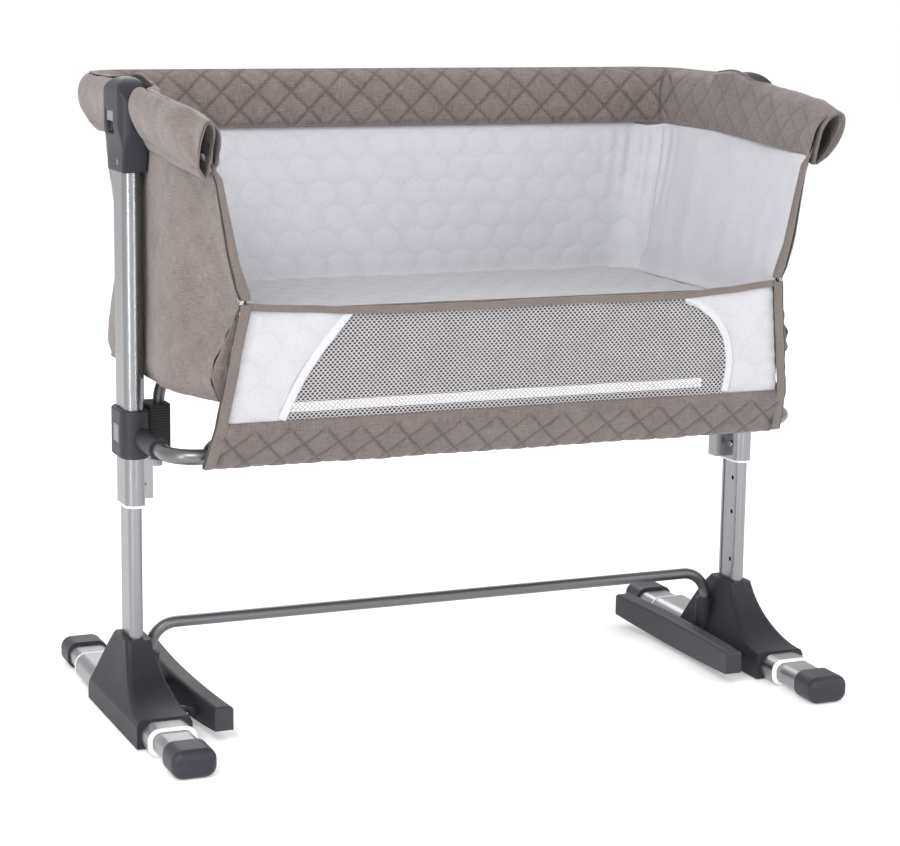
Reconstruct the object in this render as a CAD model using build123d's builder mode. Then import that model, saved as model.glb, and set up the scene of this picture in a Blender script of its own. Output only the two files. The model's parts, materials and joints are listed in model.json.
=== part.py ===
"""Fold-down co-sleeping bassinet on a height-adjustable stand.

Millimetres, +Z up, +X along the bed's length, -Y towards the drop side.
The origin is on the floor, midway between the two posts.
"""
from build123d import *
import os
from math import sqrt

os.makedirs("parts", exist_ok=True)

SIDES = {"left": -1, "right": 1}
ENDS = {"front": -1, "rear": 1}

# Posts: an oval inner post stands in each foot and an oval outer post slides on it.
POST_X = 440.0
OUTER_WIDTH, OUTER_DEPTH, OUTER_WALL = 26.4, 60.4, 2.4
INNER_WIDTH, INNER_DEPTH, INNER_WALL = 18.0, 51.4, 2.0
OUTER_BOTTOM, OUTER_TOP = 284.0, 752.0
INNER_BOTTOM, INNER_TOP = 38.0, 580.0
BUSH_FLANGE, BUSH_LENGTH = 3.0, 14.0
SLIDE_GAP = 0.3
LATCH_HOLES = (306.0, 257.0, 208.0, 139.0)
LATCH_Y = -12.0
LATCH_HOLE_R = 3.2
PIN_FIT, PIN_HEAD_R, PIN_HEAD_THICK, PIN_HEAD_ROUND = 0.2, 4.8, 2.4, 1.2
PIN_HEAD_X = 425.3
GROOVE_Y, GROOVE_WIDTH, GROOVE_DEPTH = 11.0, 7.0, 1.2

# Feet: a flat oval tube under each post, with a capped inner tube drawn out of each end.
FOOT_Z = 18.5
FOOT_WIDTH, FOOT_HEIGHT, FOOT_WALL, FOOT_CORNER = 62.0, 35.0, 2.2, 15.0
FOOT_TUBE_END = 178.0
FOOT_BUSH_FLANGE, FOOT_BUSH_LENGTH = 3.0, 22.0
FLANGE_PROUD = 0.5
EXT_WIDTH, EXT_HEIGHT, EXT_WALL, EXT_CORNER = 51.0, 27.0, 2.0, 11.0
EXT_INNER_END = 100.0
CAP_START, CAP_END = 232.0, 278.0
CAP_WIDTH, CAP_HEIGHT, CAP_CORNER = 57.0, 37.0, 15.0
CAP_FLOOR, CAP_ROUND = 14.0, 11.0

# Foot housing, a curved gusset that clamps post, foot tube and stretcher together.
HOUSING_TOP = 108.0
HOUSING_FRONT, HOUSING_REAR = -145.0, 92.0
HOUSING_BASE = 1.5
HOUSING_HALF, HOUSING_NECK = 36.0, 17.5
HOUSING_NOSE, HOUSING_HEEL, HOUSING_SHOULDER = 39.0, 12.0, 30.0
NOSE_SWEEP, HEEL_SWEEP, SIDE_SWEEP = (-70.0, 62.0), (70.0, 66.0), (24.0, 66.0)
HOUSING_ROUND = 7.0
NECK_DEPTH = 31.5

# Stretcher bar between the feet.
STRETCHER_R = 7.5
STRETCHER_Y, STRETCHER_Z = 22.0, 114.0
STRETCHER_LEG_X, STRETCHER_BEND = 411.0, 36.0
STRETCHER_FOOT_Z = 48.0
BOSS_R, BOSS_TOP = 13.0, 77.0

# Rocker bars, hinged on the inner side of each foot.
ROCKER_PIN_X, ROCKER_PIN_Z = 396.0, 22.0
ROCKER_PIN_R, ROCKER_PIN_LENGTH = 3.0, 22.0
ROCKER_X, ROCKER_HALF = 364.0, 12.0
ROCKER_TOP, ROCKER_MIDDLE, ROCKER_TIP = 46.0, 8.0, 15.0
ROCKER_FRONT, ROCKER_REAR = -150.0, 186.0
ROCKER_BOW = 7.0
ROCKER_ARMS = (-78.0, 62.0)
ROCKER_ROUND, ROCKER_ARM_HEIGHT = 5.0, 10.0
EYE_R, EYE_WIDTH, EAR_R, EAR_THICK = 8.0, 9.0, 7.0, 4.0
PIN_GAP, EAR_GAP = 0.06, 0.3

# Collar round the foot of the outer post, with the lower socket of the drop rail.
COLLAR_BOTTOM, COLLAR_TOP = 345.0, 407.0
COLLAR_WIDTH, COLLAR_DEPTH, COLLAR_ROUND = 39.0, 73.0, 3.0
RAIL_R, RAIL_GAP = 9.75, 0.25
RAIL_ARM_X, RAIL_Z, RAIL_Y, RAIL_BEND = 432.0, 371.0, -165.0, 40.0
RAIL_TIP_Y, SOCKET_FLOOR_Y = -80.0, -77.0
RAIL_WALL = 1.5
ARM_R, ARM_ROOT_Y, ARM_MOUTH_Y = 13.5, -24.0, -103.0
BUTTON_GAP, BUTTON_ROUND = 0.3, 0.8
COLLAR_BUTTON_Y, COLLAR_BUTTON_Z = -3.0, 376.0
COLLAR_BUTTON_WIDTH, COLLAR_BUTTON_HEIGHT, COLLAR_BUTTON_THICK = 22.0, 23.0, 3.6
COLLAR_POCKET, COLLAR_BUTTON_PROUD = 5.6, 0.6
KNOB_R, KNOB_Y, KNOB_TOP, KNOB_HEIGHT = 8.0, -88.0, 357.2, 8.5
KNOB_RIBS, KNOB_FLUTE_R = 12, 1.1

# Latch block and channel on the inner side of the outer post.
BLOCK_INNER_X, BLOCK_DEPTH = 392.5, 44.0
BLOCK_BOTTOM, BLOCK_TOP, BLOCK_ROUND = 352.0, 412.0, 4.0
CHANNEL_INNER_X, CHANNEL_Y, CHANNEL_DEPTH, CHANNEL_WALL = 410.0, 13.0, 21.0, 2.0
CHANNEL_BOTTOM = 286.0

# Top cap that joins post, rear rail and the upper socket of the drop rail.
CAP_BOTTOM, CAP_TOP = 706.0, 824.0
CAP_NECK_HALF, CAP_HEAD_HALF = 16.5, 21.0
CAP_HEAD_FRONT, CAP_HEAD_REAR = -44.0, 47.0
CAP_NECK_DEPTH, CAP_BACK_KNEE = 33.5, (36.0, 750.0)
CAP_BACK_LOW, CAP_BACK_HIGH = 768.0, 790.0
CAP_FRONT_LOW, CAP_FRONT_HIGH = 758.0, 788.0
CAP_FLARE_LOW, CAP_FLARE_HIGH, CAP_EAVE = 738.0, 762.0, 808.0
WINDOW_Y, WINDOW_WIDTH = 8.0, 32.0
WINDOW_BOTTOM, WINDOW_TOP, WINDOW_DEPTH = 754.0, 782.0, 9.0
CATCH_HEIGHT, CATCH_THICK, CATCH_RECESS, CATCH_ROUND = 13.0, 5.0, 1.5, 1.5
SCREW_Y, SCREW_Z, SCREW_R, SCREW_DEPTH, SCREW_SLOT = -12.0, 719.0, 3.6, 2.0, 1.0

# Rear top rail and the bed's mattress support.
TOP_RAIL_Z, TOP_RAIL_X, TOP_RAIL_REAR, TOP_RAIL_BEND = 800.0, 436.0, 235.0, 60.0
TOP_RAIL_START = 16.0
SUPPORT_R, SUPPORT_LEG_X, SUPPORT_BEND, SUPPORT_Z = 7.5, 402.5, 45.0, 460.0
SUPPORT_FOOT_Z = 376.0

# Hinge line of the drop side, and the place the rail reaches when it is raised.
HINGE_Y, HINGE_Z = -228.0, 570.0
RAISED_RAIL_Y = -272.0
SWING_R = sqrt((RAIL_Y - HINGE_Y) ** 2 + (RAIL_Z - HINGE_Z) ** 2)
RAISED_RAIL_Z = HINGE_Z + sqrt(SWING_R ** 2 - (RAISED_RAIL_Y - HINGE_Y) ** 2)
UPPER_ARM_R, UPPER_ARM_MOUTH_Y, UPPER_ARM_ROOT_Y = 12.5, -205.0, -16.0

# Fabric bag, lining and mattress.
BAG_HALF, BAG_FRONT_HALF = 422.0, 404.0
BAG_BOTTOM, BAG_TOP = 446.0, 745.0
BAG_FRONT_LOW, BAG_FRONT_HIGH, BAG_SHOULDER_Y = -200.0, -219.0, -110.0
BAG_REAR_LOW, BAG_REAR_HIGH, BAG_CORNER = 212.0, 226.0, 48.0
BAG_WALL, BAG_OPENING_DEPTH = 4.0, 60.0
FRONT_WALL_TOP = 556.0
BAG_SLOT_X, BAG_SLOT_WIDTH, BAG_SLOT_DEPTH = 390.0, 40.0, 24.0
LINING_BOTTOM, LINING_TOP, LINING_WALL = 543.0, 745.0, 3.0
LINING_HALF_LOW, LINING_HALF_HIGH, LINING_FRONT_HALF = 371.0, 414.0, 397.0
LINING_REAR_LOW, LINING_REAR_HIGH, LINING_FRONT, LINING_CORNER = 206.0, 217.0, -213.0, 44.0
MATTRESS_HALF, MATTRESS_FRONT, MATTRESS_REAR = 364.0, -194.0, 202.0
MATTRESS_CORNER, MATTRESS_ROUND, BOARD_INSET = 30.0, 12.0, 4.0
BOARD_BOTTOM, BOARD_TOP, MATTRESS_BOTTOM, MATTRESS_TOP = 468.0, 476.0, 476.5, 541.0

# Padded rim over the rear rail, and the empty rim sleeves beside the opening.
RIM_WIDTH, RIM_BOTTOM, RIM_TOP = 36.0, 748.0, 822.0
RIM_START = 50.0
SLEEVE_START, SLEEVE_END = -47.0, -245.0
SLEEVE_BOTTOM, SLEEVE_TOP, SLEEVE_WALL = 720.0, 804.0, 3.0
SLEEVE_GAP = 2.0
STRIP_INNER_X, STRIP_THICK = 413.5, 2.5
STRIP_FRONT, STRIP_REAR, STRIP_BOTTOM, STRIP_TOP = -51.0, 47.0, 760.0, 782.0

# Drop panel: a trapezium of fabric over a quilted band that holds the rail.
PANEL_THICK, PANEL_GAP = 4.0, 0.5
PANEL_TOP_HALF, PANEL_LOW_HALF = 357.0, 383.0
BAND_TOP_Y, BAND_TOP_Z = -206.0, 416.0
BAND_HALF, BAND_R, BAND_HOLE_R = 392.0, 13.5, 10.05
BAND_TANGENT, BAND_REACH = 3.0, 13.1

# Zip sliders, parked at the hinge corners of the drop side.
ZIP_X, ZIP_Y, ZIP_Z = 367.0, -227.0, 572.0
ZIP_WIDTH, ZIP_DEPTH, ZIP_HEIGHT = 8.0, 5.0, 11.0
PULL_WIDTH, PULL_THICK, PULL_LENGTH = 5.0, 1.6, 18.0


def save(part, name):
    """Label a finished piece and write it as its own STEP file."""
    part.label = name
    export_step(part, f"parts/{name}.step")


def oval(width, depth):
    """A stadium across X by width and along Y by depth."""
    return SlotOverall(depth, width, rotation=90)


# ---------------------------------------------------------------- feet
def housing_side_view():
    """Outline of the housing seen along the bed: a long nose, a neck and a short heel."""
    nose, heel = (HOUSING_FRONT, HOUSING_NOSE), (HOUSING_REAR, HOUSING_HEEL)
    neck_front, neck_rear = (-NECK_DEPTH, HOUSING_TOP), (NECK_DEPTH, HOUSING_TOP)
    with BuildSketch() as outline:
        with BuildLine():
            Polyline(heel, (HOUSING_REAR, HOUSING_BASE), (HOUSING_FRONT, HOUSING_BASE), nose)
            ThreePointArc(nose, NOSE_SWEEP, neck_front)
            Line(neck_front, neck_rear)
            ThreePointArc(neck_rear, HEEL_SWEEP, heel)
        make_face()
    return outline.sketch


def housing_end_view():
    """Outline of the housing seen from its nose: straight flanks that sweep in to the neck."""
    sweep_x, sweep_z = SIDE_SWEEP
    with BuildSketch() as outline:
        with BuildLine():
            Polyline(
                (-HOUSING_HALF, HOUSING_SHOULDER),
                (-HOUSING_HALF, 0),
                (HOUSING_HALF, 0),
                (HOUSING_HALF, HOUSING_SHOULDER),
            )
            ThreePointArc((HOUSING_HALF, HOUSING_SHOULDER), (sweep_x, sweep_z), (HOUSING_NECK, HOUSING_TOP))
            Line((HOUSING_NECK, HOUSING_TOP), (-HOUSING_NECK, HOUSING_TOP))
            ThreePointArc(
                (-HOUSING_NECK, HOUSING_TOP), (-sweep_x, sweep_z), (-HOUSING_HALF, HOUSING_SHOULDER),
            )
        make_face()
    return outline.sketch


def foot_housing(side):
    x = side * POST_X
    with BuildPart() as housing:
        with BuildSketch(Plane.YZ.offset(x)):
            add(housing_side_view())
        extrude(amount=HOUSING_HALF, both=True)
        with BuildSketch(Plane.XZ):
            with Locations((x, 0)):
                add(housing_end_view())
        extrude(amount=2 * HOUSING_REAR, both=True, mode=Mode.INTERSECT)
        slopes = housing.edges().filter_by(lambda e: e.bounding_box().size.Z > HOUSING_NOSE + 1)
        fillet(slopes, radius=HOUSING_ROUND)
        with BuildSketch(Plane.XY.offset(HOUSING_BASE)):
            with Locations((side * STRETCHER_LEG_X, STRETCHER_Y)):
                Circle(BOSS_R)
        extrude(amount=BOSS_TOP - HOUSING_BASE)
        with BuildSketch(Plane.XZ.offset(-HOUSING_REAR)):
            with Locations((x, FOOT_Z)):
                RectangleRounded(FOOT_WIDTH, FOOT_HEIGHT, FOOT_CORNER)
        extrude(amount=HOUSING_REAR - HOUSING_FRONT, mode=Mode.SUBTRACT)
        with BuildSketch(Plane.XY.offset(INNER_BOTTOM)):
            with Locations((x, 0)):
                oval(INNER_WIDTH, INNER_DEPTH)
        extrude(amount=HOUSING_TOP, mode=Mode.SUBTRACT)
        with Locations((side * STRETCHER_LEG_X, STRETCHER_Y, STRETCHER_FOOT_Z)):
            Cylinder(
                STRETCHER_R, HOUSING_TOP, align=(Align.CENTER, Align.CENTER, Align.MIN), mode=Mode.SUBTRACT,
            )
    return housing.part


def foot_tube(side):
    with BuildPart() as tube:
        with BuildSketch(Plane.XZ.offset(-FOOT_TUBE_END)):
            with Locations((side * POST_X, FOOT_Z)):
                RectangleRounded(FOOT_WIDTH, FOOT_HEIGHT, FOOT_CORNER)
                RectangleRounded(
                    FOOT_WIDTH - 2 * FOOT_WALL,
                    FOOT_HEIGHT - 2 * FOOT_WALL,
                    FOOT_CORNER - FOOT_WALL,
                    mode=Mode.SUBTRACT,
                )
        extrude(amount=2 * FOOT_TUBE_END)
    return tube.part


def foot_bushes():
    """White bushes in the mouths of both foot tubes, each with a thin flange."""
    with BuildPart() as bushes:
        for side in SIDES.values():
            for end in ENDS.values():
                mouth = end * FOOT_TUBE_END
                inner = mouth - end * FOOT_BUSH_LENGTH
                outer = mouth + end * FOOT_BUSH_FLANGE
                with BuildSketch(Plane.XZ.offset(-inner)):
                    with Locations((side * POST_X, FOOT_Z)):
                        RectangleRounded(
                            FOOT_WIDTH - 2 * FOOT_WALL,
                            FOOT_HEIGHT - 2 * FOOT_WALL,
                            FOOT_CORNER - FOOT_WALL,
                        )
                extrude(amount=-end * FOOT_BUSH_LENGTH)
                with BuildSketch(Plane.XZ.offset(-mouth)):
                    with Locations((side * POST_X, FOOT_Z)):
                        RectangleRounded(
                            FOOT_WIDTH + 2 * FLANGE_PROUD, FOOT_HEIGHT + 2 * FLANGE_PROUD, FOOT_CORNER
                        )
                extrude(amount=-end * FOOT_BUSH_FLANGE)
                with BuildSketch(Plane.XZ.offset(-inner)):
                    with Locations((side * POST_X, FOOT_Z)):
                        RectangleRounded(
                            EXT_WIDTH + 2 * SLIDE_GAP,
                            EXT_HEIGHT + 2 * SLIDE_GAP,
                            EXT_CORNER + SLIDE_GAP,
                        )
                extrude(amount=-(outer - inner), mode=Mode.SUBTRACT)
    return bushes.part


def foot_extension(side, end):
    """The inner foot tube that slides out of one end of a foot."""
    reach = CAP_END - CAP_FLOOR
    bore_width = EXT_WIDTH - 2 * EXT_WALL
    bore_height = EXT_HEIGHT - 2 * EXT_WALL
    with BuildPart() as tube:
        with BuildSketch(Plane.XZ.offset(-end * EXT_INNER_END)):
            with Locations((side * POST_X, FOOT_Z)):
                RectangleRounded(EXT_WIDTH, EXT_HEIGHT, EXT_CORNER)
                RectangleRounded(bore_width, bore_height, EXT_CORNER - EXT_WALL, mode=Mode.SUBTRACT)
        extrude(amount=-end * (reach - EXT_INNER_END))
    return tube.part


def foot_cap(side, end):
    with BuildPart() as cap:
        with BuildSketch(Plane.XZ.offset(-end * CAP_START)):
            with Locations((side * POST_X, CAP_HEIGHT / 2)):
                RectangleRounded(CAP_WIDTH, CAP_HEIGHT, CAP_CORNER)
        extrude(amount=-end * (CAP_END - CAP_START))
        tip = cap.faces().sort_by(Axis.Y)[-1 if end > 0 else 0]
        fillet(tip.edges(), radius=CAP_ROUND)
        with BuildSketch(Plane.XZ.offset(-end * CAP_START)):
            with Locations((side * POST_X, FOOT_Z)):
                RectangleRounded(EXT_WIDTH, EXT_HEIGHT, EXT_CORNER)
        extrude(amount=-end * (CAP_END - CAP_FLOOR - CAP_START), mode=Mode.SUBTRACT)
    return cap.part


def stretcher_bar():
    half = STRETCHER_LEG_X
    with BuildPart() as bar:
        with BuildLine(Plane.XZ.offset(-STRETCHER_Y)) as path:
            FilletPolyline(
                (-half, STRETCHER_FOOT_Z),
                (-half, STRETCHER_Z),
                (half, STRETCHER_Z),
                (half, STRETCHER_FOOT_Z),
                radius=STRETCHER_BEND,
            )
        with BuildSketch(Plane.XY.offset(STRETCHER_FOOT_Z)):
            with Locations((-half, STRETCHER_Y)):
                Circle(STRETCHER_R)
        sweep(path=path.wire())
    return bar.part


# ---------------------------------------------------------------- rocker bars
def rocker_bar(side):
    """Bowed bar with a curved underside and two hinge arms with eyes."""
    x = side * ROCKER_X
    inner = x - side * ROCKER_HALF
    outer = x + side * ROCKER_HALF
    middle = (ROCKER_FRONT + ROCKER_REAR) / 2
    with BuildPart() as bar:
        with BuildSketch(Plane.XY):
            with BuildLine():
                ThreePointArc(
                    (outer, ROCKER_FRONT), (outer + side * ROCKER_BOW, middle), (outer, ROCKER_REAR),
                )
                Line((outer, ROCKER_REAR), (inner, ROCKER_REAR))
                ThreePointArc(
                    (inner, ROCKER_REAR), (inner + side * ROCKER_BOW, middle), (inner, ROCKER_FRONT),
                )
                Line((inner, ROCKER_FRONT), (outer, ROCKER_FRONT))
            make_face()
        extrude(amount=ROCKER_TOP)
        with BuildSketch(Plane.YZ):
            with BuildLine():
                ThreePointArc(
                    (ROCKER_FRONT, ROCKER_TIP), (middle, ROCKER_MIDDLE), (ROCKER_REAR, ROCKER_TIP),
                )
                Line((ROCKER_REAR, ROCKER_TIP), (ROCKER_REAR, ROCKER_TOP))
                Line((ROCKER_REAR, ROCKER_TOP), (ROCKER_FRONT, ROCKER_TOP))
                Line((ROCKER_FRONT, ROCKER_TOP), (ROCKER_FRONT, ROCKER_TIP))
            make_face()
        extrude(amount=side * POST_X, mode=Mode.INTERSECT)
        top = bar.faces().sort_by(Axis.Z)[-1]
        fillet(top.edges(), radius=ROCKER_ROUND)
        for y in ROCKER_ARMS:
            pin = side * ROCKER_PIN_X
            with Locations((pin, y, ROCKER_PIN_Z)):
                Cylinder(EYE_R, EYE_WIDTH, rotation=(90, 0, 0))
            with Locations(((pin + x) / 2, y, ROCKER_PIN_Z)):
                Box(ROCKER_PIN_X - ROCKER_X, EYE_WIDTH, ROCKER_ARM_HEIGHT)
        for y in ROCKER_ARMS:
            with Locations((side * ROCKER_PIN_X, y, ROCKER_PIN_Z)):
                Cylinder(ROCKER_PIN_R + PIN_GAP, 2 * EYE_WIDTH, rotation=(90, 0, 0), mode=Mode.SUBTRACT)
    return bar.part


def rocker_brackets(side):
    """Pairs of ears that hold the hinge pins against the housing's inner wall."""
    wall = side * (POST_X - HOUSING_HALF)
    pin = side * ROCKER_PIN_X
    offset = EYE_WIDTH / 2 + EAR_GAP + EAR_THICK / 2
    with BuildPart() as brackets:
        for y in ROCKER_ARMS:
            for ear in (y - offset, y + offset):
                with BuildSketch(Plane.XZ.offset(-ear)):
                    with Locations((pin, ROCKER_PIN_Z)):
                        Circle(EAR_R)
                    with Locations(((pin + wall) / 2, ROCKER_PIN_Z)):
                        Rectangle(abs(wall - pin), 2 * EAR_R)
                    with Locations((pin, ROCKER_PIN_Z)):
                        Circle(ROCKER_PIN_R, mode=Mode.SUBTRACT)
                extrude(amount=EAR_THICK / 2, both=True)
    return brackets.part


def rocker_pins():
    with BuildPart() as pins:
        for side in SIDES.values():
            for y in ROCKER_ARMS:
                with Locations((side * ROCKER_PIN_X, y, ROCKER_PIN_Z)):
                    Cylinder(ROCKER_PIN_R, ROCKER_PIN_LENGTH, rotation=(90, 0, 0))
    return pins.part


# ---------------------------------------------------------------- posts
def inner_post(side):
    x = side * POST_X
    face = side * (POST_X - INNER_WIDTH / 2)
    bore_width = INNER_WIDTH - 2 * INNER_WALL
    bore_depth = INNER_DEPTH - 2 * INNER_WALL
    with BuildPart() as post:
        with BuildSketch(Plane.XY.offset(INNER_BOTTOM)):
            with Locations((x, 0)):
                oval(INNER_WIDTH, INNER_DEPTH)
                SlotOverall(bore_depth, bore_width, rotation=90, mode=Mode.SUBTRACT)
        extrude(amount=INNER_TOP - INNER_BOTTOM)
        with Locations((face, GROOVE_Y, (HOUSING_TOP + INNER_TOP) / 2)):
            Box(2 * GROOVE_DEPTH, GROOVE_WIDTH, INNER_TOP - HOUSING_TOP, mode=Mode.SUBTRACT)
        for z in LATCH_HOLES:
            with Locations((face, LATCH_Y, z)):
                Cylinder(LATCH_HOLE_R, 3 * INNER_WALL, rotation=(0, 90, 0), mode=Mode.SUBTRACT)
    return post.part


def outer_post(side):
    x = side * POST_X
    face = side * (POST_X - OUTER_WIDTH / 2)
    bore_width = OUTER_WIDTH - 2 * OUTER_WALL
    bore_depth = OUTER_DEPTH - 2 * OUTER_WALL
    with BuildPart() as post:
        with BuildSketch(Plane.XY.offset(OUTER_BOTTOM)):
            with Locations((x, 0)):
                oval(OUTER_WIDTH, OUTER_DEPTH)
                SlotOverall(bore_depth, bore_width, rotation=90, mode=Mode.SUBTRACT)
        extrude(amount=OUTER_TOP - OUTER_BOTTOM)
        with Locations((face, LATCH_Y, LATCH_HOLES[0])):
            Cylinder(LATCH_HOLE_R, 3 * OUTER_WALL, rotation=(0, 90, 0), mode=Mode.SUBTRACT)
    return post.part


def post_bushes():
    """White guide bushes under both outer posts."""
    with BuildPart() as bushes:
        for side in SIDES.values():
            with BuildSketch(Plane.XY.offset(OUTER_BOTTOM - BUSH_FLANGE)):
                with Locations((side * POST_X, 0)):
                    oval(OUTER_WIDTH + 2 * FLANGE_PROUD, OUTER_DEPTH + 2 * FLANGE_PROUD)
            extrude(amount=BUSH_FLANGE)
            with BuildSketch(Plane.XY.offset(OUTER_BOTTOM)):
                with Locations((side * POST_X, 0)):
                    oval(OUTER_WIDTH - 2 * OUTER_WALL, OUTER_DEPTH - 2 * OUTER_WALL)
            extrude(amount=BUSH_LENGTH)
            with BuildSketch(Plane.XY.offset(OUTER_BOTTOM - BUSH_FLANGE)):
                with Locations((side * POST_X, 0)):
                    oval(INNER_WIDTH + 2 * SLIDE_GAP, INNER_DEPTH + 2 * SLIDE_GAP)
            extrude(amount=BUSH_LENGTH + BUSH_FLANGE, mode=Mode.SUBTRACT)
    return bushes.part


def latch_pin(side):
    """Snap pin through the outer post's inner wall, with a domed head."""
    tip = POST_X - INNER_WIDTH / 2 - 2 * SLIDE_GAP
    with BuildPart() as pin:
        with Locations((side * (PIN_HEAD_X + tip) / 2, LATCH_Y, LATCH_HOLES[0])):
            Cylinder(LATCH_HOLE_R - PIN_FIT, tip - PIN_HEAD_X, rotation=(0, 90, 0))
        with Locations((side * PIN_HEAD_X, LATCH_Y, LATCH_HOLES[0])):
            Cylinder(PIN_HEAD_R, PIN_HEAD_THICK, rotation=(0, 90, 0))
        head = pin.faces().sort_by(Axis.X)[0 if side > 0 else -1]
        fillet(head.edges(), radius=PIN_HEAD_ROUND)
    return pin.part


# ---------------------------------------------------------------- collar and latch block
def collar(side):
    x = side * POST_X
    outer_face = side * (POST_X + COLLAR_WIDTH / 2)
    with BuildPart() as clamp:
        with BuildSketch(Plane.XY.offset(COLLAR_BOTTOM)):
            with Locations((x, 0)):
                oval(COLLAR_WIDTH, COLLAR_DEPTH)
        extrude(amount=COLLAR_TOP - COLLAR_BOTTOM)
        rims = clamp.faces().filter_by(Axis.Z).edges()
        fillet(rims, radius=COLLAR_ROUND)
        with BuildSketch(Plane.XZ.offset(-ARM_ROOT_Y)):
            with Locations((side * RAIL_ARM_X, RAIL_Z)):
                Circle(ARM_R)
        extrude(amount=ARM_ROOT_Y - ARM_MOUTH_Y)
        with BuildSketch(Plane.XY.offset(COLLAR_BOTTOM)):
            with Locations((x, 0)):
                oval(OUTER_WIDTH, OUTER_DEPTH)
        extrude(amount=COLLAR_TOP - COLLAR_BOTTOM, mode=Mode.SUBTRACT)
        with BuildSketch(Plane.XZ.offset(-SOCKET_FLOOR_Y)):
            with Locations((side * RAIL_ARM_X, RAIL_Z)):
                Circle(RAIL_R + RAIL_GAP)
        extrude(amount=SOCKET_FLOOR_Y - ARM_MOUTH_Y, mode=Mode.SUBTRACT)
        with Locations((outer_face, COLLAR_BUTTON_Y, COLLAR_BUTTON_Z)):
            Box(2 * COLLAR_POCKET, COLLAR_BUTTON_WIDTH, COLLAR_BUTTON_HEIGHT, mode=Mode.SUBTRACT)
    return clamp.part


def collar_button(side):
    face = POST_X + COLLAR_WIDTH / 2 + COLLAR_BUTTON_PROUD
    middle = side * (face - COLLAR_BUTTON_THICK / 2)
    with BuildPart() as button:
        with Locations((middle, COLLAR_BUTTON_Y, COLLAR_BUTTON_Z)):
            Box(
                COLLAR_BUTTON_THICK,
                COLLAR_BUTTON_WIDTH - 2 * BUTTON_GAP,
                COLLAR_BUTTON_HEIGHT - 2 * BUTTON_GAP,
            )
        front = button.faces().sort_by(Axis.X)[-1 if side > 0 else 0]
        fillet(front.edges(), radius=BUTTON_ROUND)
    return button.part


def arm_knob(side):
    """Ribbed thumb knob under the mouth of the lower arm."""
    with BuildPart() as knob:
        with BuildSketch(Plane.XY.offset(KNOB_TOP - KNOB_HEIGHT)):
            with Locations((side * RAIL_ARM_X, KNOB_Y)):
                Circle(KNOB_R)
                with PolarLocations(KNOB_R, KNOB_RIBS):
                    Circle(KNOB_FLUTE_R, mode=Mode.SUBTRACT)
        extrude(amount=KNOB_HEIGHT)
    return knob.part


def latch_block(side):
    """Black block on the collar's inner side that takes the support tube's foot."""
    outer = POST_X - COLLAR_WIDTH / 2
    with BuildPart() as block:
        with Locations((side * (BLOCK_INNER_X + outer) / 2, 0, (BLOCK_BOTTOM + BLOCK_TOP) / 2)):
            Box(outer - BLOCK_INNER_X, BLOCK_DEPTH, BLOCK_TOP - BLOCK_BOTTOM)
        uprights = block.edges().filter_by(Axis.Z).sort_by(Axis.X)
        fillet(uprights[:2] if side > 0 else uprights[-2:], radius=BLOCK_ROUND)
        with Locations((side * SUPPORT_LEG_X, 0, SUPPORT_FOOT_Z)):
            Cylinder(
                SUPPORT_R, BLOCK_TOP, align=(Align.CENTER, Align.CENTER, Align.MIN), mode=Mode.SUBTRACT
            )
    return block.part


def latch_channel(side):
    """Aluminium channel under the block, against the outer post's inner face."""
    outer = POST_X - OUTER_WIDTH / 2
    middle = side * (CHANNEL_INNER_X + outer) / 2
    width = outer - CHANNEL_INNER_X
    with BuildPart() as channel:
        with BuildSketch(Plane.XY.offset(CHANNEL_BOTTOM)):
            with Locations((middle, CHANNEL_Y)):
                Rectangle(width, CHANNEL_DEPTH)
                Rectangle(width - 2 * CHANNEL_WALL, CHANNEL_DEPTH - 2 * CHANNEL_WALL, mode=Mode.SUBTRACT)
        extrude(amount=COLLAR_BOTTOM - CHANNEL_BOTTOM)
    return channel.part


# ---------------------------------------------------------------- top cap
def cap_side_view():
    """Outline of the cap seen along the bed: a neck, a deeper head and a domed top."""
    back, front = (CAP_HEAD_REAR, CAP_BACK_HIGH), (CAP_HEAD_FRONT, CAP_FRONT_HIGH)
    with BuildSketch() as outline:
        with BuildLine():
            Polyline(
                front,
                (CAP_HEAD_FRONT, CAP_FRONT_LOW),
                (-CAP_NECK_DEPTH, CAP_BOTTOM),
                (CAP_NECK_DEPTH, CAP_BOTTOM),
                CAP_BACK_KNEE,
                (CAP_HEAD_REAR, CAP_BACK_LOW),
                back,
            )
            ThreePointArc(back, (0, CAP_TOP), front)
        make_face()
    return outline.sketch


def cap_end_view():
    """Outline of the cap seen from the drop side: a neck that flares to the head."""
    left, right = (-CAP_HEAD_HALF, CAP_EAVE), (CAP_HEAD_HALF, CAP_EAVE)
    with BuildSketch() as outline:
        with BuildLine():
            Polyline(
                left,
                (-CAP_HEAD_HALF, CAP_FLARE_HIGH),
                (-CAP_NECK_HALF, CAP_FLARE_LOW),
                (-CAP_NECK_HALF, CAP_BOTTOM),
                (CAP_NECK_HALF, CAP_BOTTOM),
                (CAP_NECK_HALF, CAP_FLARE_LOW),
                (CAP_HEAD_HALF, CAP_FLARE_HIGH),
                right,
            )
            ThreePointArc(right, (0, CAP_TOP), left)
        make_face()
    return outline.sketch


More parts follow.
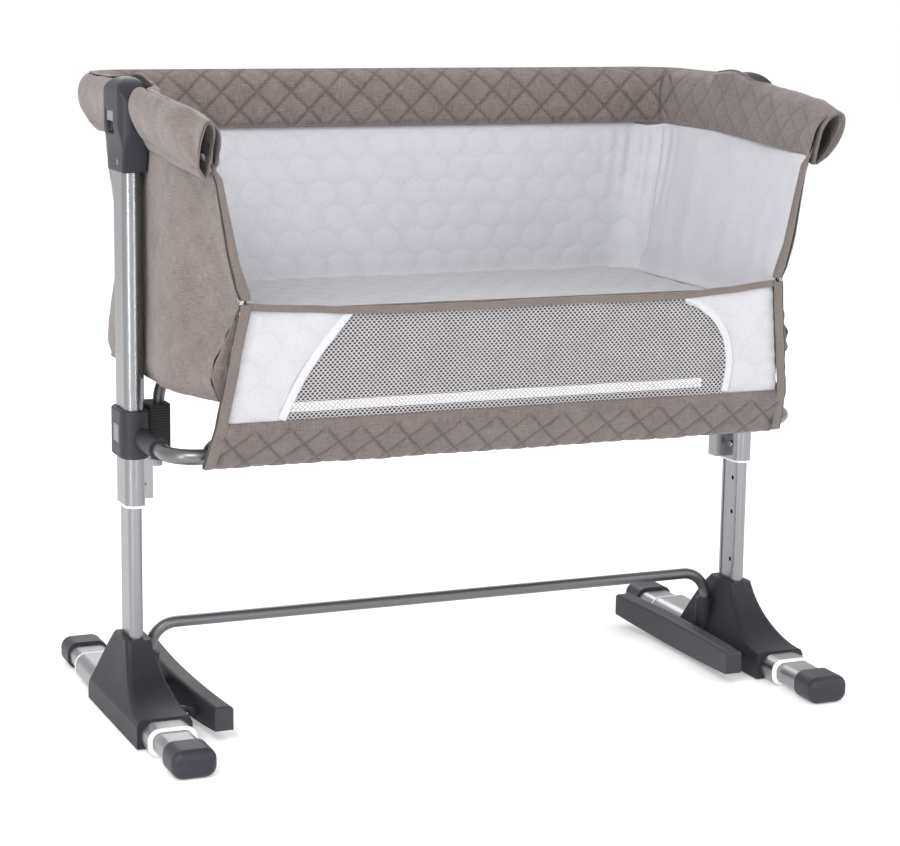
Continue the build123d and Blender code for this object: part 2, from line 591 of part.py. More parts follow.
def top_cap(side):
    x = side * POST_X
    with BuildPart() as cap:
        with BuildSketch(Plane.YZ.offset(x)):
            add(cap_side_view())
        extrude(amount=CAP_HEAD_HALF, both=True)
        with BuildSketch(Plane.XZ):
            with Locations((x, 0)):
                add(cap_end_view())
        extrude(amount=2 * CAP_HEAD_REAR, both=True, mode=Mode.INTERSECT)
        with BuildSketch(Plane.XY.offset(CAP_BOTTOM)):
            with Locations((x, (CAP_HEAD_FRONT + CAP_HEAD_REAR) / 2)):
                RectangleRounded(2 * CAP_HEAD_HALF, CAP_HEAD_REAR - CAP_HEAD_FRONT, CAP_NECK_HALF)
        extrude(amount=CAP_TOP - CAP_BOTTOM, mode=Mode.INTERSECT)
        with BuildSketch(Plane.XY.offset(CAP_BOTTOM)):
            with Locations((x, 0)):
                oval(OUTER_WIDTH, OUTER_DEPTH)
        extrude(amount=OUTER_TOP - CAP_BOTTOM, mode=Mode.SUBTRACT)
        with BuildSketch(Plane.XZ.offset(-TOP_RAIL_START)):
            with Locations((side * TOP_RAIL_X, TOP_RAIL_Z)):
                Circle(RAIL_R)
        extrude(amount=-2 * CAP_HEAD_REAR, mode=Mode.SUBTRACT)
        with BuildSketch(Plane.XZ.offset(-UPPER_ARM_ROOT_Y)):
            with Locations((side * RAIL_ARM_X, RAISED_RAIL_Z)):
                Circle(UPPER_ARM_R)
        extrude(amount=2 * CAP_HEAD_REAR, mode=Mode.SUBTRACT)
        with Locations((x + side * CAP_HEAD_HALF, WINDOW_Y, (WINDOW_BOTTOM + WINDOW_TOP) / 2)):
            Box(2 * WINDOW_DEPTH, WINDOW_WIDTH, WINDOW_TOP - WINDOW_BOTTOM, mode=Mode.SUBTRACT)
        with Locations((x + side * CAP_NECK_HALF, SCREW_Y, SCREW_Z)):
            Cylinder(SCREW_R + BUTTON_GAP, 2 * SCREW_DEPTH, rotation=(0, 90, 0), mode=Mode.SUBTRACT)
    return cap.part


def cap_button(side):
    """Catch button in the upper half of the cap's window."""
    face = POST_X + CAP_HEAD_HALF - CATCH_RECESS
    middle_z = WINDOW_TOP - BUTTON_GAP - CATCH_HEIGHT / 2
    with BuildPart() as button:
        with Locations((side * (face - CATCH_THICK / 2), WINDOW_Y, middle_z)):
            Box(CATCH_THICK, WINDOW_WIDTH - 2 * BUTTON_GAP, CATCH_HEIGHT)
        front = button.faces().sort_by(Axis.X)[-1 if side > 0 else 0]
        fillet(front.edges(), radius=CATCH_ROUND)
    return button.part


def cap_screws():
    """Screws that hold both caps, with a slotted head."""
    with BuildPart() as screws:
        for side in SIDES.values():
            face = side * (POST_X + CAP_NECK_HALF)
            with Locations((face - side * SCREW_DEPTH / 2, SCREW_Y, SCREW_Z)):
                Cylinder(SCREW_R, SCREW_DEPTH, rotation=(0, 90, 0))
            with Locations((face, SCREW_Y, SCREW_Z)):
                Box(SCREW_DEPTH, 3 * SCREW_R, SCREW_SLOT, mode=Mode.SUBTRACT)
    return screws.part


def upper_arm(side):
    """Steel socket tube in front of the cap, which takes the raised drop rail."""
    with BuildPart() as arm:
        with BuildSketch(Plane.XZ.offset(-UPPER_ARM_ROOT_Y)):
            with Locations((side * RAIL_ARM_X, RAISED_RAIL_Z)):
                Circle(UPPER_ARM_R)
                Circle(RAIL_R + RAIL_GAP, mode=Mode.SUBTRACT)
        extrude(amount=UPPER_ARM_ROOT_Y - UPPER_ARM_MOUTH_Y)
    return arm.part


# ---------------------------------------------------------------- rails
def rear_top_rail():
    with BuildPart() as rail:
        with BuildLine(Plane.XY.offset(TOP_RAIL_Z)) as path:
            FilletPolyline(
                (-TOP_RAIL_X, TOP_RAIL_START),
                (-TOP_RAIL_X, TOP_RAIL_REAR),
                (TOP_RAIL_X, TOP_RAIL_REAR),
                (TOP_RAIL_X, TOP_RAIL_START),
                radius=TOP_RAIL_BEND,
            )
        with BuildSketch(Plane.XZ.offset(-TOP_RAIL_START)):
            with Locations((-TOP_RAIL_X, TOP_RAIL_Z)):
                Circle(RAIL_R)
        sweep(path=path.wire())
    return rail.part


def front_rail():
    """U-shaped drop rail, open at both tips."""
    with BuildPart() as rail:
        with BuildLine(Plane.XY.offset(RAIL_Z)) as path:
            FilletPolyline(
                (-RAIL_ARM_X, RAIL_TIP_Y),
                (-RAIL_ARM_X, RAIL_Y),
                (RAIL_ARM_X, RAIL_Y),
                (RAIL_ARM_X, RAIL_TIP_Y),
                radius=RAIL_BEND,
            )
        with BuildSketch(Plane.XZ.offset(-RAIL_TIP_Y)):
            with Locations((-RAIL_ARM_X, RAIL_Z)):
                Circle(RAIL_R)
                Circle(RAIL_R - RAIL_WALL, mode=Mode.SUBTRACT)
        sweep(path=path.wire())
    return rail.part


def mattress_support():
    """Arched tube that rises from the latch blocks and carries the board."""
    with BuildPart() as tube:
        with BuildLine(Plane.XZ) as path:
            FilletPolyline(
                (-SUPPORT_LEG_X, SUPPORT_FOOT_Z),
                (-SUPPORT_LEG_X, SUPPORT_Z),
                (SUPPORT_LEG_X, SUPPORT_Z),
                (SUPPORT_LEG_X, SUPPORT_FOOT_Z),
                radius=SUPPORT_BEND,
            )
        with BuildSketch(Plane.XY.offset(SUPPORT_FOOT_Z)):
            with Locations((-SUPPORT_LEG_X, 0)):
                Circle(SUPPORT_R)
        sweep(path=path.wire())
    return tube.part


# ---------------------------------------------------------------- bag, lining, mattress
def bag_block(inset, bottom):
    """The bag's filled shape, drawn in by inset on every side, from bottom up."""
    half = BAG_HALF - inset
    front_half = BAG_FRONT_HALF - inset
    front = BAG_FRONT_HIGH - 20
    rear = BAG_REAR_HIGH - inset
    with BuildPart() as block:
        with BuildSketch(Plane.XY.offset(bottom)):
            with BuildLine():
                FilletPolyline(
                    (-half, BAG_SHOULDER_Y),
                    (-half, rear),
                    (half, rear),
                    (half, BAG_SHOULDER_Y),
                    radius=BAG_CORNER - inset,
                )
                Polyline(
                    (half, BAG_SHOULDER_Y),
                    (front_half, front),
                    (-front_half, front),
                    (-half, BAG_SHOULDER_Y),
                )
            make_face()
        extrude(amount=BAG_TOP - bottom)
        with BuildSketch(Plane.YZ):
            with BuildLine():
                Polyline(
                    (BAG_FRONT_LOW + inset, BAG_BOTTOM),
                    (BAG_FRONT_HIGH + inset, FRONT_WALL_TOP),
                    (BAG_FRONT_HIGH + inset, BAG_TOP),
                    (BAG_REAR_HIGH - inset, BAG_TOP),
                    (BAG_REAR_LOW - inset, BAG_BOTTOM),
                    close=True,
                )
            make_face()
        extrude(amount=BAG_HALF, both=True, mode=Mode.INTERSECT)
    return block.part


def bag():
    """Outer fabric bag: open on top and, above the mattress, along the drop side."""
    opening_height = BAG_TOP - FRONT_WALL_TOP
    cut_start, cut_bottom = SLEEVE_START + SLEEVE_GAP, SLEEVE_BOTTOM - SLEEVE_GAP
    with BuildPart() as shell:
        add(bag_block(0, BAG_BOTTOM))
        add(bag_block(BAG_WALL, BAG_BOTTOM + BAG_WALL), mode=Mode.SUBTRACT)
        with Locations((0, BAG_FRONT_HIGH, FRONT_WALL_TOP + opening_height / 2)):
            Box(2 * (BAG_FRONT_HALF - BAG_WALL), BAG_OPENING_DEPTH, opening_height, mode=Mode.SUBTRACT)
        with Locations((0, (cut_start + SLEEVE_END) / 2, (cut_bottom + BAG_TOP) / 2)):
            Box(2 * BAG_HALF, cut_start - SLEEVE_END, BAG_TOP - cut_bottom, mode=Mode.SUBTRACT)
        for side in SIDES.values():
            with Locations((side * BAG_SLOT_X, 0, BAG_BOTTOM)):
                Box(BAG_SLOT_WIDTH, BAG_SLOT_DEPTH, 3 * BAG_WALL, mode=Mode.SUBTRACT)
    return shell.part


def lining_block(inset):
    """The lining's filled taper, from the mattress up to the rim."""
    with BuildPart() as block:
        for z, half, front_half, rear in (
            (LINING_BOTTOM, LINING_HALF_LOW, LINING_HALF_LOW - 1, LINING_REAR_LOW),
            (LINING_TOP, LINING_HALF_HIGH, LINING_FRONT_HALF, LINING_REAR_HIGH),
        ):
            x, front_x, y = half - inset, front_half - inset, rear - inset
            with BuildSketch(Plane.XY.offset(z)):
                with BuildLine():
                    FilletPolyline(
                        (-x, BAG_SHOULDER_Y),
                        (-x, y),
                        (x, y),
                        (x, BAG_SHOULDER_Y),
                        radius=LINING_CORNER - inset,
                    )
                    Polyline(
                        (x, BAG_SHOULDER_Y),
                        (front_x, LINING_FRONT),
                        (-front_x, LINING_FRONT),
                        (-x, BAG_SHOULDER_Y),
                    )
                make_face()
        loft()
    return block.part


def lining():
    """Inner lining: the back wall and both ends, leaning outwards to the rim."""
    with BuildPart() as walls:
        add(lining_block(0))
        add(lining_block(LINING_WALL), mode=Mode.SUBTRACT)
        with Locations((0, LINING_FRONT, (LINING_BOTTOM + LINING_TOP) / 2)):
            Box(2 * LINING_HALF_HIGH, 1, LINING_TOP - LINING_BOTTOM, mode=Mode.SUBTRACT)
    return walls.part


def mattress_plan(inset):
    """The mattress outline, drawn in by inset."""
    with BuildSketch() as outline:
        with Locations((0, (MATTRESS_FRONT + MATTRESS_REAR) / 2)):
            RectangleRounded(
                2 * (MATTRESS_HALF - inset),
                MATTRESS_REAR - MATTRESS_FRONT - 2 * inset,
                MATTRESS_CORNER - inset,
            )
    return outline.sketch


def mattress_board():
    with BuildPart() as board:
        with BuildSketch(Plane.XY.offset(BOARD_BOTTOM)):
            add(mattress_plan(BOARD_INSET))
        extrude(amount=BOARD_TOP - BOARD_BOTTOM)
    return board.part


def mattress():
    with BuildPart() as pad:
        with BuildSketch(Plane.XY.offset(MATTRESS_BOTTOM)):
            add(mattress_plan(0))
        extrude(amount=MATTRESS_TOP - MATTRESS_BOTTOM)
        fillet(pad.faces().sort_by(Axis.Z)[-1].edges(), radius=MATTRESS_ROUND)
    return pad.part


# ---------------------------------------------------------------- rim and sleeves
def rear_rim():
    """Padded rim wrapped over the rear rail, from one cap round to the other."""
    middle = (RIM_BOTTOM + RIM_TOP) / 2
    with BuildPart() as rim:
        with BuildLine(Plane.XY.offset(middle)) as path:
            FilletPolyline(
                (-TOP_RAIL_X, RIM_START),
                (-TOP_RAIL_X, TOP_RAIL_REAR),
                (TOP_RAIL_X, TOP_RAIL_REAR),
                (TOP_RAIL_X, RIM_START),
                radius=TOP_RAIL_BEND,
            )
        with BuildSketch(Plane.XZ.offset(-RIM_START)):
            with Locations((-TOP_RAIL_X, middle)):
                RectangleRounded(RIM_WIDTH, RIM_TOP - RIM_BOTTOM, RIM_WIDTH / 2 - 1)
            with Locations((-TOP_RAIL_X, TOP_RAIL_Z)):
                Circle(RAIL_R + RAIL_GAP, mode=Mode.SUBTRACT)
        sweep(path=path.wire())
    return rim.part


def rim_sleeve(side):
    """Empty rim sleeve in front of the cap, and the strip that links it to the rim."""
    middle = (SLEEVE_BOTTOM + SLEEVE_TOP) / 2
    height = SLEEVE_TOP - SLEEVE_BOTTOM
    with BuildPart() as sleeve:
        with BuildSketch(Plane.XZ.offset(-SLEEVE_START)):
            with Locations((side * RAIL_ARM_X, middle)):
                RectangleRounded(RIM_WIDTH, height, RIM_WIDTH / 2 - 1)
                RectangleRounded(
                    RIM_WIDTH - 2 * SLEEVE_WALL,
                    height - 2 * SLEEVE_WALL,
                    RIM_WIDTH / 2 - 1 - SLEEVE_WALL,
                    mode=Mode.SUBTRACT,
                )
        extrude(amount=SLEEVE_START - SLEEVE_END)
        strip_x = side * (STRIP_INNER_X + STRIP_THICK / 2)
        with Locations((strip_x, (STRIP_FRONT + STRIP_REAR) / 2, (STRIP_BOTTOM + STRIP_TOP) / 2)):
            Box(STRIP_THICK, STRIP_REAR - STRIP_FRONT, STRIP_TOP - STRIP_BOTTOM)
    return sleeve.part


# ---------------------------------------------------------------- drop panel
def front_panel():
    """Fabric trapezium that hangs from the hinge line down to the band."""
    low_z = BAND_TOP_Z + PANEL_GAP
    with BuildPart() as panel:
        with BuildSketch(Plane.YZ):
            with BuildLine():
                Polyline(
                    (HINGE_Y - PANEL_THICK / 2, HINGE_Z),
                    (BAND_TOP_Y - PANEL_THICK / 2, low_z),
                    (BAND_TOP_Y + PANEL_THICK / 2, low_z),
                    (HINGE_Y + PANEL_THICK / 2, HINGE_Z),
                    close=True,
                )
            make_face()
        extrude(amount=PANEL_LOW_HALF, both=True)
        with BuildSketch(Plane.XZ):
            with BuildLine():
                Polyline(
                    (-PANEL_TOP_HALF, HINGE_Z),
                    (-PANEL_LOW_HALF, BAND_TOP_Z),
                    (PANEL_LOW_HALF, BAND_TOP_Z),
                    (PANEL_TOP_HALF, HINGE_Z),
                    close=True,
                )
            make_face()
        extrude(amount=-2 * HINGE_Y, both=True, mode=Mode.INTERSECT)
    return panel.part


def front_band():
    """Quilted band along the foot of the panel, wrapped round the drop rail."""
    with BuildPart() as band:
        with BuildSketch(Plane.YZ):
            with Locations((RAIL_Y, RAIL_Z)):
                Circle(BAND_R)
            with BuildLine():
                Polyline(
                    (BAND_TOP_Y - PANEL_THICK / 2, BAND_TOP_Z),
                    (BAND_TOP_Y + PANEL_THICK / 2, BAND_TOP_Z),
                    (RAIL_Y + BAND_TANGENT, RAIL_Z + BAND_REACH),
                    (RAIL_Y - BAND_REACH, RAIL_Z - BAND_TANGENT),
                    close=True,
                )
            make_face()
            with Locations((RAIL_Y, RAIL_Z)):
                Circle(BAND_HOLE_R, mode=Mode.SUBTRACT)
        extrude(amount=BAND_HALF, both=True)
    return band.part


def zip_slider(side):
    """Metal zip slider parked at the hinge corner, with its pull."""
    x, front = side * ZIP_X, ZIP_Y - ZIP_DEPTH / 2
    pull_y = front - PULL_THICK
    with BuildPart() as slider:
        with Locations((x, ZIP_Y, ZIP_Z)):
            Box(ZIP_WIDTH, ZIP_DEPTH, ZIP_HEIGHT)
        fillet(slider.edges().filter_by(Axis.Y), radius=ZIP_WIDTH / 4)
        with Locations((x, front, ZIP_Z)):
            Box(ZIP_WIDTH / 3, 2 * PULL_THICK, ZIP_HEIGHT / 2)
        with Locations((x, pull_y, ZIP_Z - PULL_LENGTH / 2)):
            Box(PULL_WIDTH, PULL_THICK, PULL_LENGTH)
    return slider.part


def build_sides():
    """Everything that comes once for the left and once for the right."""
    makers = {
        "foot_housing": foot_housing,
        "foot_tube": foot_tube,
        "inner_post": inner_post,
        "outer_post": outer_post,
        "latch_pin": latch_pin,
        "rocker_bar": rocker_bar,
        "rocker_brackets": rocker_brackets,
        "collar": collar,
        "collar_button": collar_button,
        "arm_knob": arm_knob,
        "latch_block": latch_block,
        "latch_channel": latch_channel,
        "top_cap": top_cap,
        "cap_button": cap_button,
        "upper_arm": upper_arm,
        "rim_sleeve": rim_sleeve,
        "zip_slider": zip_slider,
    }
    for side_name, side in SIDES.items():
        for piece, make in makers.items():
            save(make(side), f"{side_name}_{piece}")
        for end_name, end in ENDS.items():
            save(foot_extension(side, end), f"{side_name}_{end_name}_foot_extension")
            save(foot_cap(side, end), f"{side_name}_{end_name}_foot_cap")


def build_middle():
    """Everything that comes once, or as one group."""
    makers = {
        "foot_bushes": foot_bushes,
        "stretcher_bar": stretcher_bar,
        "rocker_pins": rocker_pins,
        "post_bushes": post_bushes,
        "cap_screws": cap_screws,
        "rear_top_rail": rear_top_rail,
        "front_rail": front_rail,
        "mattress_support": mattress_support,
        "bag": bag,
        "lining": lining,
        "mattress_board": mattress_board,
        "mattress": mattress,
        "rear_rim": rear_rim,
        "front_panel": front_panel,
        "front_band": front_band,
    }
    for piece, make in makers.items():
        save(make(), piece)


build_sides()
build_middle()
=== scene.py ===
"""Bassinet on a stand: cloth, padding, net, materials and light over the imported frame.

Lengths are in millimetres until a mesh is made. +X runs along the bed, -Y is the open side.
"""
import itertools
import json
import math

import bpy
import numpy as np
from mathutils import Matrix, Vector


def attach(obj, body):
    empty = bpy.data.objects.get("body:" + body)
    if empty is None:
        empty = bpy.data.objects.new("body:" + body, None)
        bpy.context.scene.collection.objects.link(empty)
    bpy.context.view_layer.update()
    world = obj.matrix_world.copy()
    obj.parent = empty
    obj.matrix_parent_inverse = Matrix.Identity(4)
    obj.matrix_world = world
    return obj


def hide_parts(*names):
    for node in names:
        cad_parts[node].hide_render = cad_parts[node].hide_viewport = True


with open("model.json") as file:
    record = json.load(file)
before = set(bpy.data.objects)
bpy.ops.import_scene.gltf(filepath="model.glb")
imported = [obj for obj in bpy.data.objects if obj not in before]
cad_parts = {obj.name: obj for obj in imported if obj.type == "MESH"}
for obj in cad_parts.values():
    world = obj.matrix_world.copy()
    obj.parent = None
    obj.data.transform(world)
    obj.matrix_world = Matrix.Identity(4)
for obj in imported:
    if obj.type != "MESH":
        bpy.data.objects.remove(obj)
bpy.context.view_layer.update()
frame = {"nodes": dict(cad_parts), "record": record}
MM = 0.001
SIDES = (("left", -1), ("right", 1))

# Outer bag
BAG_END_X, BAG_REAR_Y, BAG_CORNER = 421.0, 225.0, 58.0
BAG_LOW_Z, BAG_HIGH_Z = 446.0, 750.0
FRONT_BOTTOM_Z = 438.0
SHOULDER_Y = -108.0
ZIP_Z = (568.0, 584.0, 626.0, 673.0, 709.0, 722.0, 745.0)
ZIP_X = (366.0, 373.0, 383.0, 391.0, 397.0, 401.0, 404.0)
ZIP_Y = -231.0
CORNER_Z = (446.0, 459.0, 475.0, 494.0, 545.0, 568.0)
CORNER_X = (385.0, 391.0, 397.0, 393.0, 373.0, 366.0)
FRONT_LOW_Y, FRONT_HIGH_Y = -199.0, -219.0
POST_CLEAR_X = 424.5

# Lining
LINING_LOW_Z, LINING_HIGH_Z = 522.0, 746.0
LINING_END_X = (368.0, 417.0)
LINING_REAR_Y = (205.0, 220.0)
LINING_CORNER, LINING_SEAM = 46.0, 407.0
LINING_FRONT_Z = (536.0, 578.0, 615.0, 671.0, 716.0, 728.0, 746.0)
LINING_FRONT_X = (352.0, 358.5, 371.5, 383.5, 393.0, 402.0, 412.0)

# Rim
RIM_X, RIM_Y, RIM_BEND = 436.0, 235.0, 60.0
RIM_START_Y, SLEEVE_START_Y = 50.0, -48.0
RIM_TALL, RIM_ROWS = 77.0, 96
RIM_REAR_LOW_Z = 747.0
RIM_SEAM = 418.0
BAND_LOW_Y = (-252.0, -189.0, 39.0, 237.0)
BAND_LOW_Z = (727.0, 730.5, 742.5, 743.5)
SLEEVE_LOW_Y = (-275.0, -235.0, -160.0, -48.0)
SLEEVE_LOW_Z = (716.0, 717.0, 724.0, 737.0)
MOUTH_Y, MOUTH_LEAN = -240.0, 33.0
ARM_END_Y, MOUTH_NARROW_Y = -203.0, -262.0
TOP_Y = (-275.0, -246.0, -213.0, -110.0, 12.0, 60.0, 250.0)
TOP_Z = (786.0, 793.0, 800.0, 809.0, 817.0, 820.0, 820.5)
SLEEVE_X = (419.0, 422.0, 426.0, 431.0, 434.0, 436.0, 436.0)

# Drop panel and band
HINGE_Y, HINGE_Z = -228.0, 570.0
PANEL_LOW_Y, PANEL_LOW_Z = -206.0, 416.0
PANEL_HALF = (357.0, 381.0)
TOP_EDGE_X = (-358.0, -354.0, -292.0, -226.0, -57.0, 52.0, 164.0, 229.0, 294.0, 358.0)
TOP_EDGE_Z = (563.0, 561.0, 557.5, 552.5, 551.0, 552.5, 551.5, 552.5, 557.0, 564.0)
WINDOW_LEFT = ((-228.0, 551.0), (-233.0, 545.0), (-266.0, 502.0), (-290.0, 462.0), (-312.0, 412.0))
WINDOW_RIGHT = ((231.0, 551.0), (247.0, 544.0), (275.0, 523.0), (294.0, 498.0), (303.0, 470.0),
                (304.0, 445.0), (301.0, 412.0))
NET_PITCH, NET_ROW = 6.0, 3.2

# Quilting
RIM_DIAMOND, BAND_DIAMOND = (50.0, 48.0), (46.0, 50.0)
CELL_WIDE, CELL_ROW = 47.0, 34.0

MATTRESS_HALF, MATTRESS_FRONT, MATTRESS_REAR = 362.0, -193.0, 201.0
MATTRESS_LOW, MATTRESS_HIGH = 477.0, 537.0


# ---------------------------------------------------------------- numbers
def unit(v):
    return v / (np.linalg.norm(v, axis=-1, keepdims=True) + 1e-12)


def smooth(x, low, high):
    """0 below low, 1 above high, smooth between."""
    t = np.clip((x - low) / (high - low), 0, 1)
    return t * t * (3 - 2 * t)


def hashed(cells, seed):
    x, y, z = (cells[..., i].astype(np.int64) for i in range(3))
    h = (x * 73856093) ^ (y * 19349663) ^ (z * 83492791) ^ (seed * 265443576)
    h = (h ^ (h >> 13)) * 1274126177
    return ((h ^ (h >> 16)) & 0xFFFFFF) / float(0xFFFFFF)


def noise(points, cell, seed):
    """Smooth value noise from -1 to 1."""
    q = points / cell
    base = np.floor(q)
    f = q - base
    f = f * f * (3 - 2 * f)
    total = 0
    for corner in itertools.product((0, 1), repeat=3):
        c = np.array(corner)
        weight = np.prod(np.where(c == 1, f, 1 - f), axis=-1)
        total = total + weight * hashed(base + c, seed)
    return total * 2 - 1


def resample(points, count):
    """Points spaced evenly along a polyline."""
    points = np.asarray(points, float)
    step = np.linalg.norm(np.diff(points, axis=0), axis=1)
    along = np.concatenate([[0], np.cumsum(step)])
    at = np.linspace(0, along[-1], count)
    return np.stack([np.interp(at, along, points[:, i]) for i in range(points.shape[1])], -1)


def spline(points, count, closed=False):
    """Catmull-Rom curve through the points, evenly sampled."""
    p = np.asarray(points, float)
    n = len(p)
    if closed:
        spans = [(p[i - 1], p[i], p[(i + 1) % n], p[(i + 2) % n]) for i in range(n)]
    else:
        q = np.vstack([2 * p[0] - p[1], p, 2 * p[-1] - p[-2]])
        spans = [tuple(q[i:i + 4]) for i in range(n - 1)]
    t = np.linspace(0, 1, 16, endpoint=False)[:, None]
    out = []
    for a, b, c, d in spans:
        out.append(0.5 * (2 * b + (c - a) * t + (2 * a - 5 * b + 4 * c - d) * t ** 2
                          + (3 * b - a - 3 * c + d) * t ** 3))
    out.append(p[:1] if closed else p[-1:])
    return resample(np.vstack(out), count)


def rounded(corners, radii, count):
    """Plan path through the corners, each rounded, evenly sampled."""
    pts = [np.asarray(c, float) for c in corners]
    out = [pts[0]]
    for i, radius in enumerate(radii):
        at = pts[i + 1]
        a, b = unit(pts[i] - at), unit(pts[i + 2] - at)
        half = math.acos(float(np.clip(a @ b, -1, 1))) / 2
        if half > 1.565:
            continue
        cut = radius / math.tan(half)
        centre = at + unit(a + b) * radius / math.sin(half)
        start, end = at + a * cut - centre, at + b * cut - centre
        turn = math.atan2(start[0] * end[1] - start[1] * end[0], float(start @ end))
        for k in range(25):
            w = turn * k / 24
            out.append(centre + np.array([start[0] * math.cos(w) - start[1] * math.sin(w),
                                          start[0] * math.sin(w) + start[1] * math.cos(w)]))
    out.append(pts[-1])
    return resample(out, count)


def normals(p):
    return unit(np.cross(np.gradient(p, axis=1), np.gradient(p, axis=0)))


def arc_uv(p):
    """Distance along rows and columns of a grid, in millimetres."""
    du = np.linalg.norm(np.diff(p, axis=1), axis=2).mean(axis=0)
    dv = np.linalg.norm(np.diff(p, axis=0), axis=2).mean(axis=1)
    u = np.concatenate([[0], np.cumsum(du)])
    v = np.concatenate([[0], np.cumsum(dv)])
    return np.meshgrid(u, v)


# ---------------------------------------------------------------- quilting
def diamonds(u, v, wide, tall):
    """(puff, stitch line mask) of diamond quilting: puff is 1 mid-diamond, the mask is 1 on the seam, where
    painted shade darkens the cloth.
    """
    a = np.abs(np.sin(math.pi * (u / wide + v / tall)))
    b = np.abs(np.sin(math.pi * (u / wide - v / tall)))
    spacing = 1 / math.hypot(1 / wide, 1 / tall) / math.pi
    near = np.minimum(a, b) * spacing
    return (a * b) ** 0.33, np.exp(-(near / 2.2) ** 2)


def cells(u, v):
    """(puff, stitch line mask) of rounded staggered cells; the mask sets the painted shade along the seams.
    """
    row = np.round(v / CELL_ROW)
    first = np.full(u.shape, 1e9)
    second = np.full(u.shape, 1e9)
    for j in (-1, 0, 1):
        r = row + j
        shift = (r % 2) * CELL_WIDE / 2
        column = np.round((u - shift) / CELL_WIDE)
        for i in (-1, 0, 1):
            x = (column + i) * CELL_WIDE + shift
            d = np.hypot(u - x, (v - r * CELL_ROW) * 1.08)
            second = np.minimum(second, np.maximum(first, d))
            first = np.minimum(first, d)
    gap = np.minimum((second - first) * 0.8, np.abs(first - 21.5) + 1.2 * (first > 21.5))
    return 1 - np.exp(-gap / 5.0), np.exp(-(gap / 2.2) ** 2)


def folds(p, centre, axes, count, reach, phase):
    """Creases that fan out from a point in the plane of two axes."""
    a = p[..., axes[0]] - centre[0]
    b = p[..., axes[1]] - centre[1]
    r = np.hypot(a, b)
    angle = np.arctan2(b, a)
    return np.sin(angle * count + phase) * np.exp(-r / reach) * smooth(r, 4, 45)


# ---------------------------------------------------------------- meshes
def mesh_object(name, verts, faces, uv=None, stitch_shade=None):
    mesh = bpy.data.meshes.new(name)
    mesh.from_pydata((verts * MM).tolist(), [], faces.tolist())
    mesh.update()
    if uv is not None:
        layer = mesh.uv_layers.new(name="cloth")
        loops = np.zeros(len(mesh.loops), dtype=np.int32)
        mesh.loops.foreach_get("vertex_index", loops)
        layer.data.foreach_set("uv", (uv[loops] * MM).astype(np.float32).ravel())
    # the stitch values become a point attribute that the cloth materials turn into painted shade along
    # stitched creases
    value = np.zeros(len(verts)) if stitch_shade is None else stitch_shade
    mesh.attributes.new("stitch_shade", "FLOAT", "POINT").data.foreach_set("value", value.astype(np.float32))
    mesh.polygons.foreach_set("use_smooth", np.ones(len(mesh.polygons), dtype=bool))
    obj = bpy.data.objects.new(name, mesh)
    bpy.context.scene.collection.objects.link(obj)
    return obj


def grid_faces(rows, cols, flip=False):
    index = np.arange(rows * cols).reshape(rows, cols)
    quad = [index[:-1, :-1], index[:-1, 1:], index[1:, 1:], index[1:, :-1]]
    return np.stack(quad[::-1] if flip else quad, -1).reshape(-1, 4)


def finish_piece(obj, material, body, thick, replaces, side=0.0):
    obj.data.materials.append(material)
    if thick:
        solid = obj.modifiers.new("thickness", "SOLIDIFY")
        solid.thickness = thick * MM
        solid.offset = side
    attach(obj, body)
    if replaces:
        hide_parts(*replaces)
    return obj


def cloth(name, flat_grid, shaped, material, body, slot, held, rests_on=(), thick=1.6,
          replaces=(), stitch_shade=None, uv=None, side=0.0):
    """A sheet of cloth from a grid of points. flat_grid is the grid before its wrinkles."""
    rows, cols = shaped.shape[:2]
    u, v = arc_uv(flat_grid) if uv is None else uv
    coords = np.stack([u, v], -1).reshape(-1, 2)
    marks = None if stitch_shade is None else stitch_shade.ravel()
    obj = mesh_object(name, shaped.reshape(-1, 3), grid_faces(rows, cols), coords, marks)
    finish_piece(obj, material, body, thick, replaces, side)
    d1 = np.diff(flat_grid, axis=0)[:, :-1]
    d2 = np.diff(flat_grid, axis=1)[:-1]
    area = np.linalg.norm(np.cross(d1, d2), axis=2).sum() * MM * MM
    wide = float(np.linalg.norm(np.diff(flat_grid, axis=1), axis=2).sum(axis=1).max()) * MM
    tall = float(np.linalg.norm(np.diff(flat_grid, axis=0), axis=2).sum(axis=0).max()) * MM
    flat = (round(wide, 3), round(tall, 3))
    area = min(float(area), flat[0] * flat[1])
    return obj


def strip(name, line, across, width, lift, material, body, slot, held="stretched", **more):
    """A flat tape along a line. across is its width direction, lift its face direction."""
    line = np.asarray(line, float)
    t = np.linspace(-0.5, 0.5, 9)
    bulge = (1 - (2 * t) ** 4) * lift[1]
    grid = (line[None, :, :] + t[:, None, None] * width * np.asarray(across, float)[None]
            + bulge[:, None, None] * np.asarray(lift[0], float)[None, None])
    return cloth(name, grid, grid, material, body, slot, held, **more)


def roll(name, line, radius, material, body, wobble=0.0):
    """Piping or cord sewn along a line."""
    line = np.asarray(line, float)
    along = unit(np.gradient(line, axis=0))
    side = unit(np.cross(along, np.array([0.31, 0.17, 0.93])))
    up = np.cross(along, side)
    w = np.linspace(0, 2 * math.pi, 9)
    size = radius * (1 + wobble * noise(line * 1.0, 9.0, 5))[:, None]
    grid = np.stack([line + size * (math.cos(a) * side + math.sin(a) * up) for a in w])
    u, v = arc_uv(grid)
    obj = mesh_object(name, grid.reshape(-1, 3), grid_faces(*grid.shape[:2]),
                      np.stack([u, v], -1).reshape(-1, 2))
    return finish_piece(obj, material, body, 0, ())


